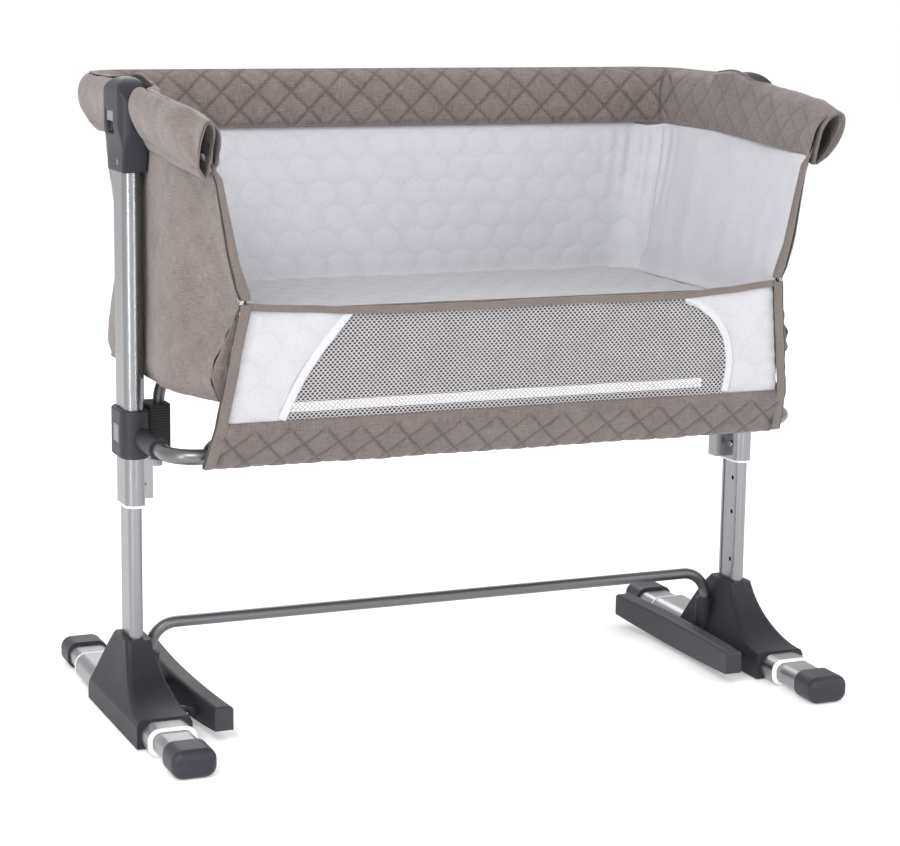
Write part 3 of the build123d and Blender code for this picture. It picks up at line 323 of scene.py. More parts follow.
# ---------------------------------------------------------------- materials
class Graph:
    """Short calls for one node material."""

    def __init__(self, name):
        self.material = bpy.data.materials.new(name)
        self.material.use_nodes = True
        self.tree = self.material.node_tree
        self.shader = self.tree.nodes["Principled BSDF"]

    def put(self, socket, value):
        if isinstance(value, bpy.types.NodeSocket):
            self.tree.links.new(value, socket)
        elif value is not None:
            socket.default_value = value

    def node(self, kind, out=0, settings=None, **inputs):
        n = self.tree.nodes.new(kind)
        for key, value in (settings or {}).items():
            setattr(n, key, value)
        for key, value in inputs.items():
            name = int(key[1:]) if key[0] == "i" and key[1:].isdigit() else key.replace("_", " ")
            self.put(n.inputs[name], value)
        return n.outputs[out]

    def coords(self, scale, kind="Object"):
        base = self.node("ShaderNodeTexCoord", out=kind)
        return self.node("ShaderNodeMapping", Vector=base, Scale=scale)

    def noise(self, vector, scale=1.0, detail=3.0, rough=0.55):
        return self.node("ShaderNodeTexNoise", out="Fac", Vector=vector, Scale=scale,
                         Detail=detail, Roughness=rough)

    def math(self, operation, a, b):
        return self.node("ShaderNodeMath", settings={"operation": operation}, i0=a, i1=b)

    def ramp(self, fac, low, high, start=0.0, stop=1.0):
        n = self.tree.nodes.new("ShaderNodeValToRGB")
        n.color_ramp.elements[0].position, n.color_ramp.elements[1].position = start, stop
        n.color_ramp.elements[0].color = (*low, 1)
        n.color_ramp.elements[1].color = (*high, 1)
        self.put(n.inputs[0], fac)
        return n.outputs[0]

    def mix(self, fac, a, b, mode="MIX"):
        n = self.tree.nodes.new("ShaderNodeMix")
        n.data_type, n.blend_type = "RGBA", mode
        self.put(n.inputs["Factor"], fac)
        for socket, value in ((n.inputs[6], a), (n.inputs[7], b)):
            self.put(socket, (*value, 1) if isinstance(value, tuple) and len(value) == 3 else value)
        return n.outputs[2]

    def bump(self, height, strength, distance, normal=None):
        return self.node("ShaderNodeBump", Height=height, Strength=strength, Distance=distance,
                         Normal=normal)

    def surface(self, **inputs):
        for key, value in inputs.items():
            self.put(self.shader.inputs[key.replace("_", " ")], value)
        return self.material


def woven(name, dark, light, thread=1.15, streak=16.0, depth=0.0004, strength=0.5, sheen=0.25,
          shaded_seam=(0.45, 0.42, 0.4), rough=0.9, back=None):
    """Cloth: crossed thread streaks, blotches, weave relief and painted shade along the stitch lines."""
    g = Graph(name)
    fine, slow = 1000 / thread, 1000 / streak
    warp = g.noise(g.coords((fine, slow, 1), "UV"), detail=2)
    weft = g.noise(g.coords((slow, fine, 1), "UV"), detail=2)
    blotch = g.noise(g.coords((26, 26, 26), "UV"), detail=4)
    cross = g.math("ADD", g.math("MULTIPLY", warp, 0.5), g.math("MULTIPLY", weft, 0.5))
    tone = g.math("ADD", g.math("MULTIPLY", cross, 0.78), g.math("MULTIPLY", blotch, 0.22))
    colour = g.ramp(tone, dark, light, 0.36, 0.64)
    # painted shade: the stitch mask darkens the colour towards the seam shade colour, standing in for the
    # shade in stitched creases
    stitch_shade = g.node("ShaderNodeAttribute", out="Fac", settings={"attribute_name": "stitch_shade"})
    colour = g.mix(g.math("MULTIPLY", stitch_shade, 0.62), colour, shaded_seam, "MULTIPLY")
    if back:
        facing = g.node("ShaderNodeNewGeometry", out="Backfacing")
        colour = g.mix(facing, colour, back)
    threads = 314.0 / thread / 2
    wave = {"wave_type": "BANDS", "bands_direction": "X"}
    over = g.node("ShaderNodeTexWave", out="Fac", settings=wave, Vector=g.coords((1, 1, 1), "UV"),
                  Scale=threads, Distortion=1.2)
    wave = {"wave_type": "BANDS", "bands_direction": "Y"}
    under = g.node("ShaderNodeTexWave", out="Fac", settings=wave, Vector=g.coords((1, 1, 1), "UV"),
                   Scale=threads, Distortion=1.2)
    relief = g.math("ADD", g.math("MULTIPLY", over, under), cross)
    return g.surface(Base_Color=colour, Roughness=rough, Sheen_Weight=sheen, Sheen_Roughness=0.5,
                     Specular_IOR_Level=0.2, Normal=g.bump(relief, strength, depth))


def plastic(name, colour, rough, grain=0.25, cell=1.1, coat=0.0, ribs=0.0):
    """Moulded plastic: fine grain, faint shade changes, edges rubbed a little lighter."""
    g = Graph(name)
    fine = g.noise(g.coords((1000 / cell,) * 3), detail=2)
    cloud = g.noise(g.coords((18, 18, 18)), detail=3)
    dark = tuple(c * 0.86 for c in colour)
    light = tuple(min(1.0, c * 1.14) for c in colour)
    base = g.ramp(cloud, dark, light, 0.3, 0.7)
    point = g.node("ShaderNodeNewGeometry", out="Pointiness")
    edge = g.ramp(point, (0, 0, 0), (1, 1, 1), 0.52, 0.60)
    base = g.mix(g.math("MULTIPLY", edge, 0.35), base, tuple(min(1.0, c * 1.9) for c in colour))
    height = fine
    if ribs:
        wave = {"wave_type": "BANDS", "bands_direction": "Z"}
        lines = g.node("ShaderNodeTexWave", out="Fac", settings=wave,
                       Vector=g.coords((1, 1, 1)), Scale=314.0 / ribs)
        height = g.math("ADD", g.math("MULTIPLY", lines, 6.0), fine)
    shine = g.math("ADD", g.math("MULTIPLY", cloud, 0.14), rough - 0.07)
    return g.surface(Base_Color=base, Roughness=shine, Coat_Weight=coat, Coat_Roughness=0.3,
                     Specular_IOR_Level=0.32, Normal=g.bump(height, grain, 0.00012))


def metal(name, colour, rough, axis, brush=0.35, anisotropic=0.0, metallic=1.0, coat=0.0):
    """Metal with fine lines drawn along one axis, or along none."""
    g = Graph(name)
    scale = [900.0, 900.0, 900.0]
    if axis is not None:
        scale[axis] = 9.0
    lines = g.noise(g.coords(tuple(scale)), detail=2)
    cloud = g.noise(g.coords((12, 12, 12)), detail=3)
    base = g.ramp(lines, tuple(c * 0.90 for c in colour), tuple(min(1, c * 1.08) for c in colour), 0.3, 0.7)
    smear = g.math("ADD", g.math("MULTIPLY", cloud, 0.12), rough - 0.06)
    shine = g.math("ADD", g.math("MULTIPLY", lines, 0.08), smear)
    return g.surface(Base_Color=base, Metallic=metallic, Roughness=shine, Anisotropic=anisotropic,
                     Coat_Weight=coat, Coat_Roughness=0.2, Normal=g.bump(lines, brush, 0.00003))


def fibreboard(name):
    g = Graph(name)
    fibre = g.noise(g.coords((220, 60, 400)), detail=5)
    base = g.ramp(fibre, (0.30, 0.21, 0.13), (0.58, 0.46, 0.32), 0.3, 0.7)
    return g.surface(Base_Color=base, Roughness=0.75, Normal=g.bump(fibre, 0.4, 0.0003))


TAUPE_DARK, TAUPE_LIGHT = (0.104, 0.084, 0.078), (0.218, 0.184, 0.172)
LINEN = woven("taupe linen", TAUPE_DARK, TAUPE_LIGHT)
QUILTED = woven("taupe linen quilted", TAUPE_DARK, TAUPE_LIGHT, shaded_seam=(0.42, 0.38, 0.36))
BAND_LINEN = woven("taupe band", (0.086, 0.069, 0.065), (0.176, 0.148, 0.140), shaded_seam=(0.42, 0.38, 0.36))
LOOP_LINEN = woven("taupe linen, pale back", TAUPE_DARK, TAUPE_LIGHT, back=(0.50, 0.45, 0.39))
TAPE = woven("taupe binding", (0.105, 0.086, 0.078), (0.180, 0.152, 0.140), thread=0.8, streak=4.0)
PALE = woven("pale quilted cotton", (0.46, 0.46, 0.495), (0.56, 0.56, 0.595), thread=0.9, streak=5.0,
             strength=0.25, sheen=0.15, shaded_seam=(0.82, 0.82, 0.85))
COVER = woven("mattress cover", (0.385, 0.38, 0.40), (0.47, 0.465, 0.485), thread=0.9, streak=5.0,
              strength=0.25, sheen=0.15, shaded_seam=(0.84, 0.84, 0.87))
CORNER = woven("white quilted corner", (0.40, 0.395, 0.42), (0.49, 0.485, 0.51), thread=0.9, streak=5.0,
               strength=0.25, sheen=0.15, shaded_seam=(0.82, 0.82, 0.85))
WHITE_TAPE = woven("white tape", (0.46, 0.455, 0.48), (0.55, 0.545, 0.57), thread=0.8, streak=4.0)
NET = woven("grey net", (0.29, 0.28, 0.295), (0.43, 0.42, 0.435), thread=0.7, streak=2.0, strength=0.2)
CHARCOAL = plastic("charcoal plastic", (0.024, 0.0235, 0.032), 0.46)
BLACK = plastic("black ribbed plastic", (0.006, 0.006, 0.007), 0.45, grain=0.5, ribs=3.4)
ROCKER = plastic("rocker plastic", (0.028, 0.026, 0.032), 0.52, grain=0.7, cell=1.8)
GREY_PLASTIC = plastic("grey plastic", (0.20, 0.21, 0.22), 0.45)
WHITE_PLASTIC = plastic("white nylon", (0.74, 0.74, 0.73), 0.38)
UPRIGHT_METAL = metal("satin aluminium upright", (0.27, 0.272, 0.284), 0.25, 2, brush=0.1)
FOOT_METAL = metal("satin aluminium foot", (0.31, 0.312, 0.325), 0.32, 1)
GREY_STEEL = metal("grey steel", (0.15, 0.15, 0.16), 0.34, None, brush=0.1, metallic=0.8)
RAIL_STEEL = metal("rail steel", (0.16, 0.16, 0.168), 0.28, None, brush=0.08, metallic=0.85, coat=0.3)
BRIGHT_STEEL = metal("bright steel", (0.36, 0.36, 0.37), 0.25, 0)
HOUSING = plastic("housing plastic", (0.014, 0.0138, 0.019), 0.54)
ZIP_DARK = plastic("zip coil", (0.035, 0.032, 0.032), 0.45)
BOARD = fibreboard("fibreboard")

NODE_LOOKS = {
    "charcoal_plastic": CHARCOAL, "black_plastic": BLACK, "rocker_plastic": ROCKER,
    "grey_plastic": GREY_PLASTIC, "white_plastic": WHITE_PLASTIC, "satin_aluminium": UPRIGHT_METAL,
    "grey_steel": GREY_STEEL, "rail_steel": RAIL_STEEL, "bright_steel": BRIGHT_STEEL, "board": BOARD,
    "taupe_fabric": LINEN, "pale_quilt": PALE, "mesh_fabric": NET, "mattress_cover": COVER,
}


def paint_frame():
    for part in frame["record"]["subparts"]:
        obj = frame["nodes"][part["node"]]
        look = NODE_LOOKS[part["material_slot"]]
        if "foot_tube" in part["node"] or "extension" in part["node"]:
            look = FOOT_METAL
        if "foot_housing" in part["node"]:
            look = HOUSING
        obj.data.materials.clear()
        obj.data.materials.append(look)
        if part["node"].endswith("top_cap"):
            remesh = obj.modifiers.new("even", "REMESH")
            remesh.mode, remesh.voxel_size, remesh.use_smooth_shade = "VOXEL", 0.0014, True
            soft = obj.modifiers.new("soft edges", "SMOOTH")
            soft.factor, soft.iterations = 0.5, 14


# ---------------------------------------------------------------- outer bag
def bag_wall():
    """The U-shaped outer wall from one front edge round the back to the other."""
    rows = np.linspace(BAG_LOW_Z, BAG_HIGH_Z, 150)
    grid = []
    for z in rows:
        if z < ZIP_Z[0]:
            x = np.interp(z, CORNER_Z, CORNER_X)
            y = np.interp(z, (BAG_LOW_Z, 556), (FRONT_LOW_Y, FRONT_HIGH_Y))
        else:
            x = np.interp(z, ZIP_Z, ZIP_X)
            y = ZIP_Y
        y = y + (ZIP_Y - y) * smooth(z, 540, ZIP_Z[0])
        tuck = 5 * math.exp(-((z - BAG_LOW_Z) / 12) ** 2)
        end, rear = BAG_END_X - tuck, BAG_REAR_Y - tuck
        corners = [(-x, y), (-end, SHOULDER_Y), (-end, rear), (end, rear), (end, SHOULDER_Y), (x, y)]
        plan = rounded(corners, (230, BAG_CORNER, BAG_CORNER, 230), 640)
        grid.append(np.column_stack([plan, np.full(len(plan), z)]))
    flat = np.array(grid)
    out = -normals(flat)
    x, y, z = flat[..., 0], flat[..., 1], flat[..., 2]
    end_wall = smooth(np.abs(x), 360, 400)
    corner = np.exp(-((np.hypot(np.abs(x) - 400, y - 205)) / 75) ** 2)
    waist = 15 * corner * np.exp(-((z - 598) / 85) ** 2)
    push = 2.6 * noise(flat, 95, 3) + 1.0 * noise(flat * [1, 1, 0.45], 34, 8) + 0.35 * noise(flat, 12, 9)
    push = push + 2.4 * end_wall * folds(flat, (-232, 566), (1, 2), 9, 120, 0.5)
    push = push + 2.0 * end_wall * folds(flat, (-235, 722), (1, 2), 8, 70, 2.0)
    push = push + 1.2 * np.sin(x / 17 + z / 60) * smooth(-y, -240, -215) * smooth(720 - z, 0, 60)
    columns = flat.shape[1]
    near_edge = np.minimum(np.arange(columns), np.arange(columns)[::-1]) * 2.6
    gather = np.sin(z / 4.6 + 2.2 * noise(flat, 40, 12)) * np.exp(-near_edge / 17)[None]
    push = push + 1.7 * gather * (1 - smooth(z, 566, 580)) * smooth(z, 455, 480)
    push = push - waist - 2.0 * smooth(z, 735, 750)
    shaped = flat + out * push[..., None]
    beside = smooth(np.abs(y), 30, 60)
    limit = POST_CLEAR_X + 3 * beside
    shaped[..., 0] = np.clip(shaped[..., 0], -limit, limit)
    # painted shade: a darker line along the stitched hem
    hem = np.exp(-((z - BAG_LOW_Z - 7) / 1.0) ** 2)
    cloth("bag_outer_wall", flat, shaped, LINEN, "upper_frame", "taupe_fabric", "hung",
          rests_on=("rear_top_rail",), replaces=("bag",), stitch_shade=hem)
    return shaped


def bag_front(wall):
    """The low front wall behind the net, and the floor."""
    rows = 56
    z = np.linspace(FRONT_BOTTOM_Z, 557.0, rows)
    count = 300
    grid = np.zeros((rows, count, 3))
    for i, level in enumerate(z):
        x = np.interp(level, CORNER_Z, CORNER_X) - 1.0
        y = np.interp(level, (BAG_LOW_Z, 556), (FRONT_LOW_Y, FRONT_HIGH_Y))
        xs = np.linspace(-x, x, count)
        bow = 3.0 * (1 - (xs / x) ** 2)
        grid[i] = np.column_stack([xs, np.full(count, y) + bow, np.full(count, level)])
    push = 1.6 * noise(grid, 70, 21) + 0.8 * noise(grid * [1, 1, 0.4], 26, 22)
    push = push * smooth(395 - np.abs(grid[..., 0]), 0, 40)
    shaped = grid.copy()
    shaped[..., 1] += push
    cloth("bag_front_wall", grid, shaped, LINEN, "upper_frame", "taupe_fabric", "hung",
          rests_on=("bag_outer_wall",), side=-1.0)
    edge = wall[0]
    inner = np.linspace(1.0, 0.0, 20)
    centre = np.array([0.0, 10.0, BAG_LOW_Z - 1.5])
    rings = []
    for k in inner:
        ring = centre + (edge - centre) * [k ** 0.5, k ** 0.5, 1]
        ring[:, 2] = BAG_LOW_Z - 3.0 * (1 - k) ** 0.5
        rings.append(ring)
    floor = np.array(rings)
    floor[..., 2] += 1.0 * noise(floor, 60, 25) * smooth(420 - np.abs(floor[..., 0]), 0, 40)
    cloth("bag_floor", floor, floor, LINEN, "upper_frame", "taupe_fabric", "stretched",
          rests_on=("mattress_support",))
    roll("bag_bottom_seam", edge + [0, 0, 1.0], 2.2, TAPE, "upper_frame", 0.2)


# ---------------------------------------------------------------- lining
def lining():
    rows = np.linspace(LINING_LOW_Z, LINING_HIGH_Z, 120)
    grid = []
    for z in rows:
        t = (z - LINING_LOW_Z) / (LINING_HIGH_Z - LINING_LOW_Z)
        tuck = 9.0 * math.exp(-((z - LINING_LOW_Z) / 11) ** 2)
        end = LINING_END_X[0] + (LINING_END_X[1] - LINING_END_X[0]) * t - tuck
        rear = LINING_REAR_Y[0] + (LINING_REAR_Y[1] - LINING_REAR_Y[0]) * t - tuck
        x = np.interp(z, LINING_FRONT_Z, LINING_FRONT_X)
        front = ZIP_Y + 24 - 22 * smooth(z, 545, 570)
        corners = [(-x, front), (-end, SHOULDER_Y), (-end, rear), (end, rear), (end, SHOULDER_Y), (x, front)]
        plan = rounded(corners, (150, LINING_CORNER, LINING_CORNER, 150), 760)
        grid.append(np.column_stack([plan, np.full(len(plan), z)]))
    flat = np.array(grid)
    inward = normals(flat)
    u, v = arc_uv(flat)
    x, y, z = flat[..., 0], flat[..., 1], flat[..., 2]
    rear_wall = smooth(y, 150, 205)
    puff, stitch_shade = cells(u, v)
    push = 0.95 * puff * (0.10 + 0.90 * rear_wall)
    near_corner = np.exp(-((np.abs(x) - 385) / 42) ** 2) * smooth(y, 120, 190)
    push = push + 1.8 * near_corner * np.sin(u / 3.4 + 0.4 * np.sin(z / 30)) * smooth(z, 560, 700)
    push = push + 1.6 * (1 - rear_wall) * noise(np.stack([u, z * 0.35, 0 * u], -1), 30, 31)
    push = push + 2.0 * noise(flat, 110, 32)
    from_middle = u - u[:, -1:] * 0.5
    shaded_seam = sum(np.exp(-((from_middle - k * LINING_SEAM) / 1.6) ** 2) for k in (1, -1))
    push = (push - 2.6 * shaded_seam) * (1 - 0.95 * smooth(z, 718, 738))
    shaped = flat + inward * push[..., None]
    # painted shade along the cell stitches, stronger on the rear wall, and along the two dented panel seams
    marks = np.clip(stitch_shade * (0.05 + 0.35 * rear_wall) + 0.9 * shaded_seam, 0, 1)
    cloth("lining_quilt", flat, shaped, PALE, "upper_frame", "pale_quilt", "hung",
          rests_on=("rim_rear",), replaces=("lining",), stitch_shade=marks, thick=3.0, side=-1.0)


# ---------------------------------------------------------------- rim
REAR_SECTION = ((-10, 0.01), (-14, 0.13), (-15.5, 0.40), (-14, 0.66), (-9, 0.86), (-2, 0.96),
                (7, 0.985), (15, 0.86), (18.5, 0.64), (16, 0.40), (7, 0.17), (-3, 0.02), (-8, -0.03))
BAND_SECTION = ((-21.5, -0.02), (-22.5, 0.13), (-22.5, 0.40), (-20.2, 0.66), (-14.5, 0.88), (-3, 0.995),
                (4, 1.0))
SLEEVE_SECTION = ((-14, 0.0), (-14, 0.17), (-14, 0.42), (-13.5, 0.66), (-9, 0.86), (-2, 0.97),
                  (7, 0.98), (15, 0.84), (16.5, 0.64), (11, 0.40), (0, 0.17), (-11, 0.01))


def section_curve(section, count):
    """(offset, height) round a section whose heights are fractions of RIM_TALL."""
    shape = spline(np.array(section) * [1, RIM_TALL], count)
    return shape[:, 0], shape[:, 1] / RIM_TALL


def swept_rim(centre, outward, low, high, section):
    """Closed section carried along the rim from low to high: rows go round the section."""
    offset, height = section_curve(section, RIM_ROWS)
    grid = np.zeros((len(offset), len(centre), 3))
    grid[..., :2] = centre[None] + offset[:, None, None] * outward[None]
    grid[..., 2] = low + height[:, None] * (high - low)[None]
    return grid


def rim_cloth(name, flat, material, seed, replaces=(), extra=0.0):
    """A rim cover with soft wrinkles and a stitched hem."""
    out = -normals(flat)
    rows = len(flat)
    row = np.arange(rows)[:, None] / (rows - 1)
    push = 1.5 * noise(flat, 46, seed) + 0.7 * noise(flat, 17, seed + 1) + extra
    # the hem is dented and darkened with painted shade
    hem = np.broadcast_to(np.exp(-((row - 0.90) / 0.008) ** 2), flat.shape[:2])
    shaped = flat + out * (push - 0.5 * hem)[..., None]
    return cloth(name, flat, shaped, material, "upper_frame", "taupe_fabric", "folded",
                 rests_on=("rear_top_rail",), replaces=replaces, stitch_shade=hem, thick=2.0, side=-1.0)


def rim_rear():
    """The closed cover round the rear rail."""
    corners = [(-RIM_X, RIM_START_Y), (-RIM_X, RIM_Y), (RIM_X, RIM_Y), (RIM_X, RIM_START_Y)]
    centre = rounded(corners, (RIM_BEND, RIM_BEND), 460)
    along = unit(np.gradient(centre, axis=0))
    outward = np.stack([-along[:, 1], along[:, 0]], -1)
    high = np.interp(centre[:, 1], TOP_Y, TOP_Z) - 1.5
    flat = swept_rim(centre, outward, RIM_REAR_LOW_Z, high, REAR_SECTION)
    rim_cloth("rim_rear", flat, LINEN, 41, ("rear_rim",))


def band_line():
    """Plan line of the rim's middle, from the left mouth round the back to the right mouth."""
    y = np.linspace(-246, RIM_START_Y + 60, 160)
    side = np.column_stack([np.interp(y, TOP_Y, SLEEVE_X), y])
    corners = [(-RIM_X, RIM_START_Y + 60), (-RIM_X, RIM_Y), (RIM_X, RIM_Y), (RIM_X, RIM_START_Y + 60)]
    back = rounded(corners, (RIM_BEND, RIM_BEND), 500)
    return resample(np.vstack([side * [-1, 1], back[1:-1], side[::-1]]), 900)


def rim_band():
    """The quilted inner band, unbroken from one mouth of the rim to the other."""
    centre = band_line()
    along = unit(np.gradient(centre, axis=0))
    outward = np.stack([-along[:, 1], along[:, 0]], -1)
    high = np.interp(centre[:, 1], TOP_Y, TOP_Z)
    low = np.interp(centre[:, 1], BAND_LOW_Y, BAND_LOW_Z)
    offset, height = (a[:, None] for a in section_curve(BAND_SECTION, 70))
    y = centre[:, 1][None]
    sleeve_part = smooth(-y, 50, 100)
    offset = offset - 1.5 * sleeve_part
    beside = smooth(y, -74, -49) * (1 - smooth(y, 52, 78))
    squeezed = -20.5 + 8.0 * smooth(height, 0.93, 1.0)
    offset = offset + (np.minimum(offset, squeezed) - offset) * beside
    flat = np.zeros((len(offset), len(centre), 3))
    flat[..., 0] = centre[:, 0] + offset * outward[:, 0]
    flat[..., 1] = centre[:, 1] + offset * outward[:, 1]
    over_cap = 10.0 * np.exp(-((y - 2) / 46) ** 2) * smooth(height, 0.5, 1.0)
    flat[..., 2] = low + height * (high - low) + over_cap
    lean = np.clip(-y - 222, 0, 30) / 30
    flat[..., 1] += -lean * 30 * (height - 0.25)
    flat[..., 2] -= lean * 9 * height ** 2 + 1.5 * sleeve_part * height
    u, v = arc_uv(flat)
    u = u - u[:, -1:] / 2
    puff, stitch_shade = diamonds(u, v, *RIM_DIAMOND)
    right_end = smooth(centre[:, 0], 380, 430)[None] * smooth(180 - y, 0, 60)
    left_end = smooth(-centre[:, 0], 380, 430)[None] * smooth(180 - y, 0, 60)
    strength = 1 - 0.55 * right_end - 0.35 * left_end
    edge = smooth(0.99 - height, 0, 0.2) * smooth(height, 0.0, 0.12)
    bend = np.abs(u) - RIM_SEAM
    tuck = -2.6 * np.exp(-(bend / 2.2) ** 2) + 1.3 * np.exp(-(bend / 22) ** 2) * np.sin(u / 2.6)
    push = 3.4 * puff * strength * edge + (tuck + 1.0 * noise(flat, 60, 43)) * edge
    towards = normals(flat)
    face = towards[20, len(centre) // 2] @ np.array([0.0, -1.0, 0.0])
    shaped = flat + towards * (push * np.sign(face))[..., None]
    # painted shade along the diamond stitches and the seams at the bends
    marks = np.clip(stitch_shade * strength + np.exp(-(bend / 1.6) ** 2), 0, 1) * smooth(height, 0.0, 0.02)
    cloth("rim_band", flat, shaped, QUILTED, "upper_frame", "taupe_fabric", "folded",
          rests_on=("rim_rear",), stitch_shade=marks, uv=(u, v), thick=1.6, side=-1.0)


def sleeve(side_name, k):
    """Front sleeve of the rim: a teardrop tube, narrowed past the arm, whose mouth leans forward."""
    offset, height = section_curve(SLEEVE_SECTION, RIM_ROWS)
    steps = np.linspace(0, 1, 150)
    start = SLEEVE_START_Y - 2 + 5 * height[:, None]
    mouth = MOUTH_Y - MOUTH_LEAN * np.clip(height, 0, 1)[:, None] ** 1.1 - 0.5 * offset[:, None]
    y = start + (mouth - start) * steps[None]
    centre_x = np.interp(y, TOP_Y, SLEEVE_X)
    high = np.interp(y, TOP_Y, TOP_Z) - 2.5
    low = np.interp(y, SLEEVE_LOW_Y, SLEEVE_LOW_Z)
    flat = np.zeros((len(offset), len(steps), 3))
    inner = np.where(offset < 0, 1, 0)[:, None]
    pinch = smooth(-y, -ARM_END_Y, -MOUTH_NARROW_Y)
    narrow = inner * (0.6 + 0.4 * steps) + (1 - inner) * (1 - 0.55 * pinch)
    flat[..., 0] = k * (centre_x + offset[:, None] * narrow)
    flat[..., 1] = y
    flat[..., 2] = low + height[:, None] * (high - low)
    if k > 0:
        flat = flat[:, ::-1]
    crease = folds(flat, (-250, 722), (1, 2), 7, 60, 1.0 + k)
    rim_cloth(f"{side_name}_sleeve", flat, LOOP_LINEN, 50 + k, (f"{side_name}_rim_sleeve",), 2.0 * crease)
    column = -1 if k < 0 else 0
    ring = flat[:, column]
    lip = np.stack([ring + [0, d, 0] for d in (11.0, 5.0, -0.8, -1.6)])
    lip[1:3] += unit(ring - ring.mean(axis=0)) * 1.0
    cloth(f"{side_name}_sleeve_binding", lip, lip, TAPE, "upper_frame", "taupe_fabric", "folded",
          rests_on=(f"{side_name}_sleeve",), thick=1.2)


def end_edge(side_name, k):
    """Binding and zip down the open edge of one end wall."""
    z = np.linspace(571.0, 740.0, 66)
    outer = np.interp(z, ZIP_Z, ZIP_X)
    inner = np.interp(z, LINING_FRONT_Z, LINING_FRONT_X) - 2.5
    t = np.linspace(0, 1, 13)
    grid = np.zeros((len(t), len(z), 3))
    grid[..., 0] = k * (inner[None] + (outer - inner)[None] * t[:, None])
    grid[..., 1] = ZIP_Y - 4.2 * np.sin(math.pi * np.clip(t, 0, 1) ** 0.8)[:, None]
    grid[..., 2] = z[None]
    shaped = grid.copy()
    shaped[..., 1] += 0.6 * noise(grid, 22, 70)
    cloth(f"{side_name}_end_binding", grid, shaped, TAPE, "upper_frame", "taupe_fabric", "stretched",
          rests_on=("bag_outer_wall",), thick=1.2)
    line = np.column_stack([k * (outer + 0.8), np.full(len(z), ZIP_Y - 1.0), z])
    teeth = []
    faces = []
    spots = resample(line[:58], 110)
    for i, spot in enumerate(spots):
        lean = 0.35 * (1 if i % 2 else -1)
        for dx, dy, dz in itertools.product((-0.9, 0.9), (-0.8, 0.8), (-0.4, 0.4)):
            teeth.append(spot + [dx + lean, dy, dz])
        b = 8 * i
        faces += [[b, b + 1, b + 3, b + 2], [b + 4, b + 6, b + 7, b + 5], [b, b + 4, b + 5, b + 1],
                  [b + 2, b + 3, b + 7, b + 6], [b, b + 2, b + 6, b + 4], [b + 1, b + 5, b + 7, b + 3]]
    obj = mesh_object(f"{side_name}_zip_teeth", np.array(teeth), np.array(faces))
    finish_piece(obj, ZIP_DARK, "upper_frame", 0, ())


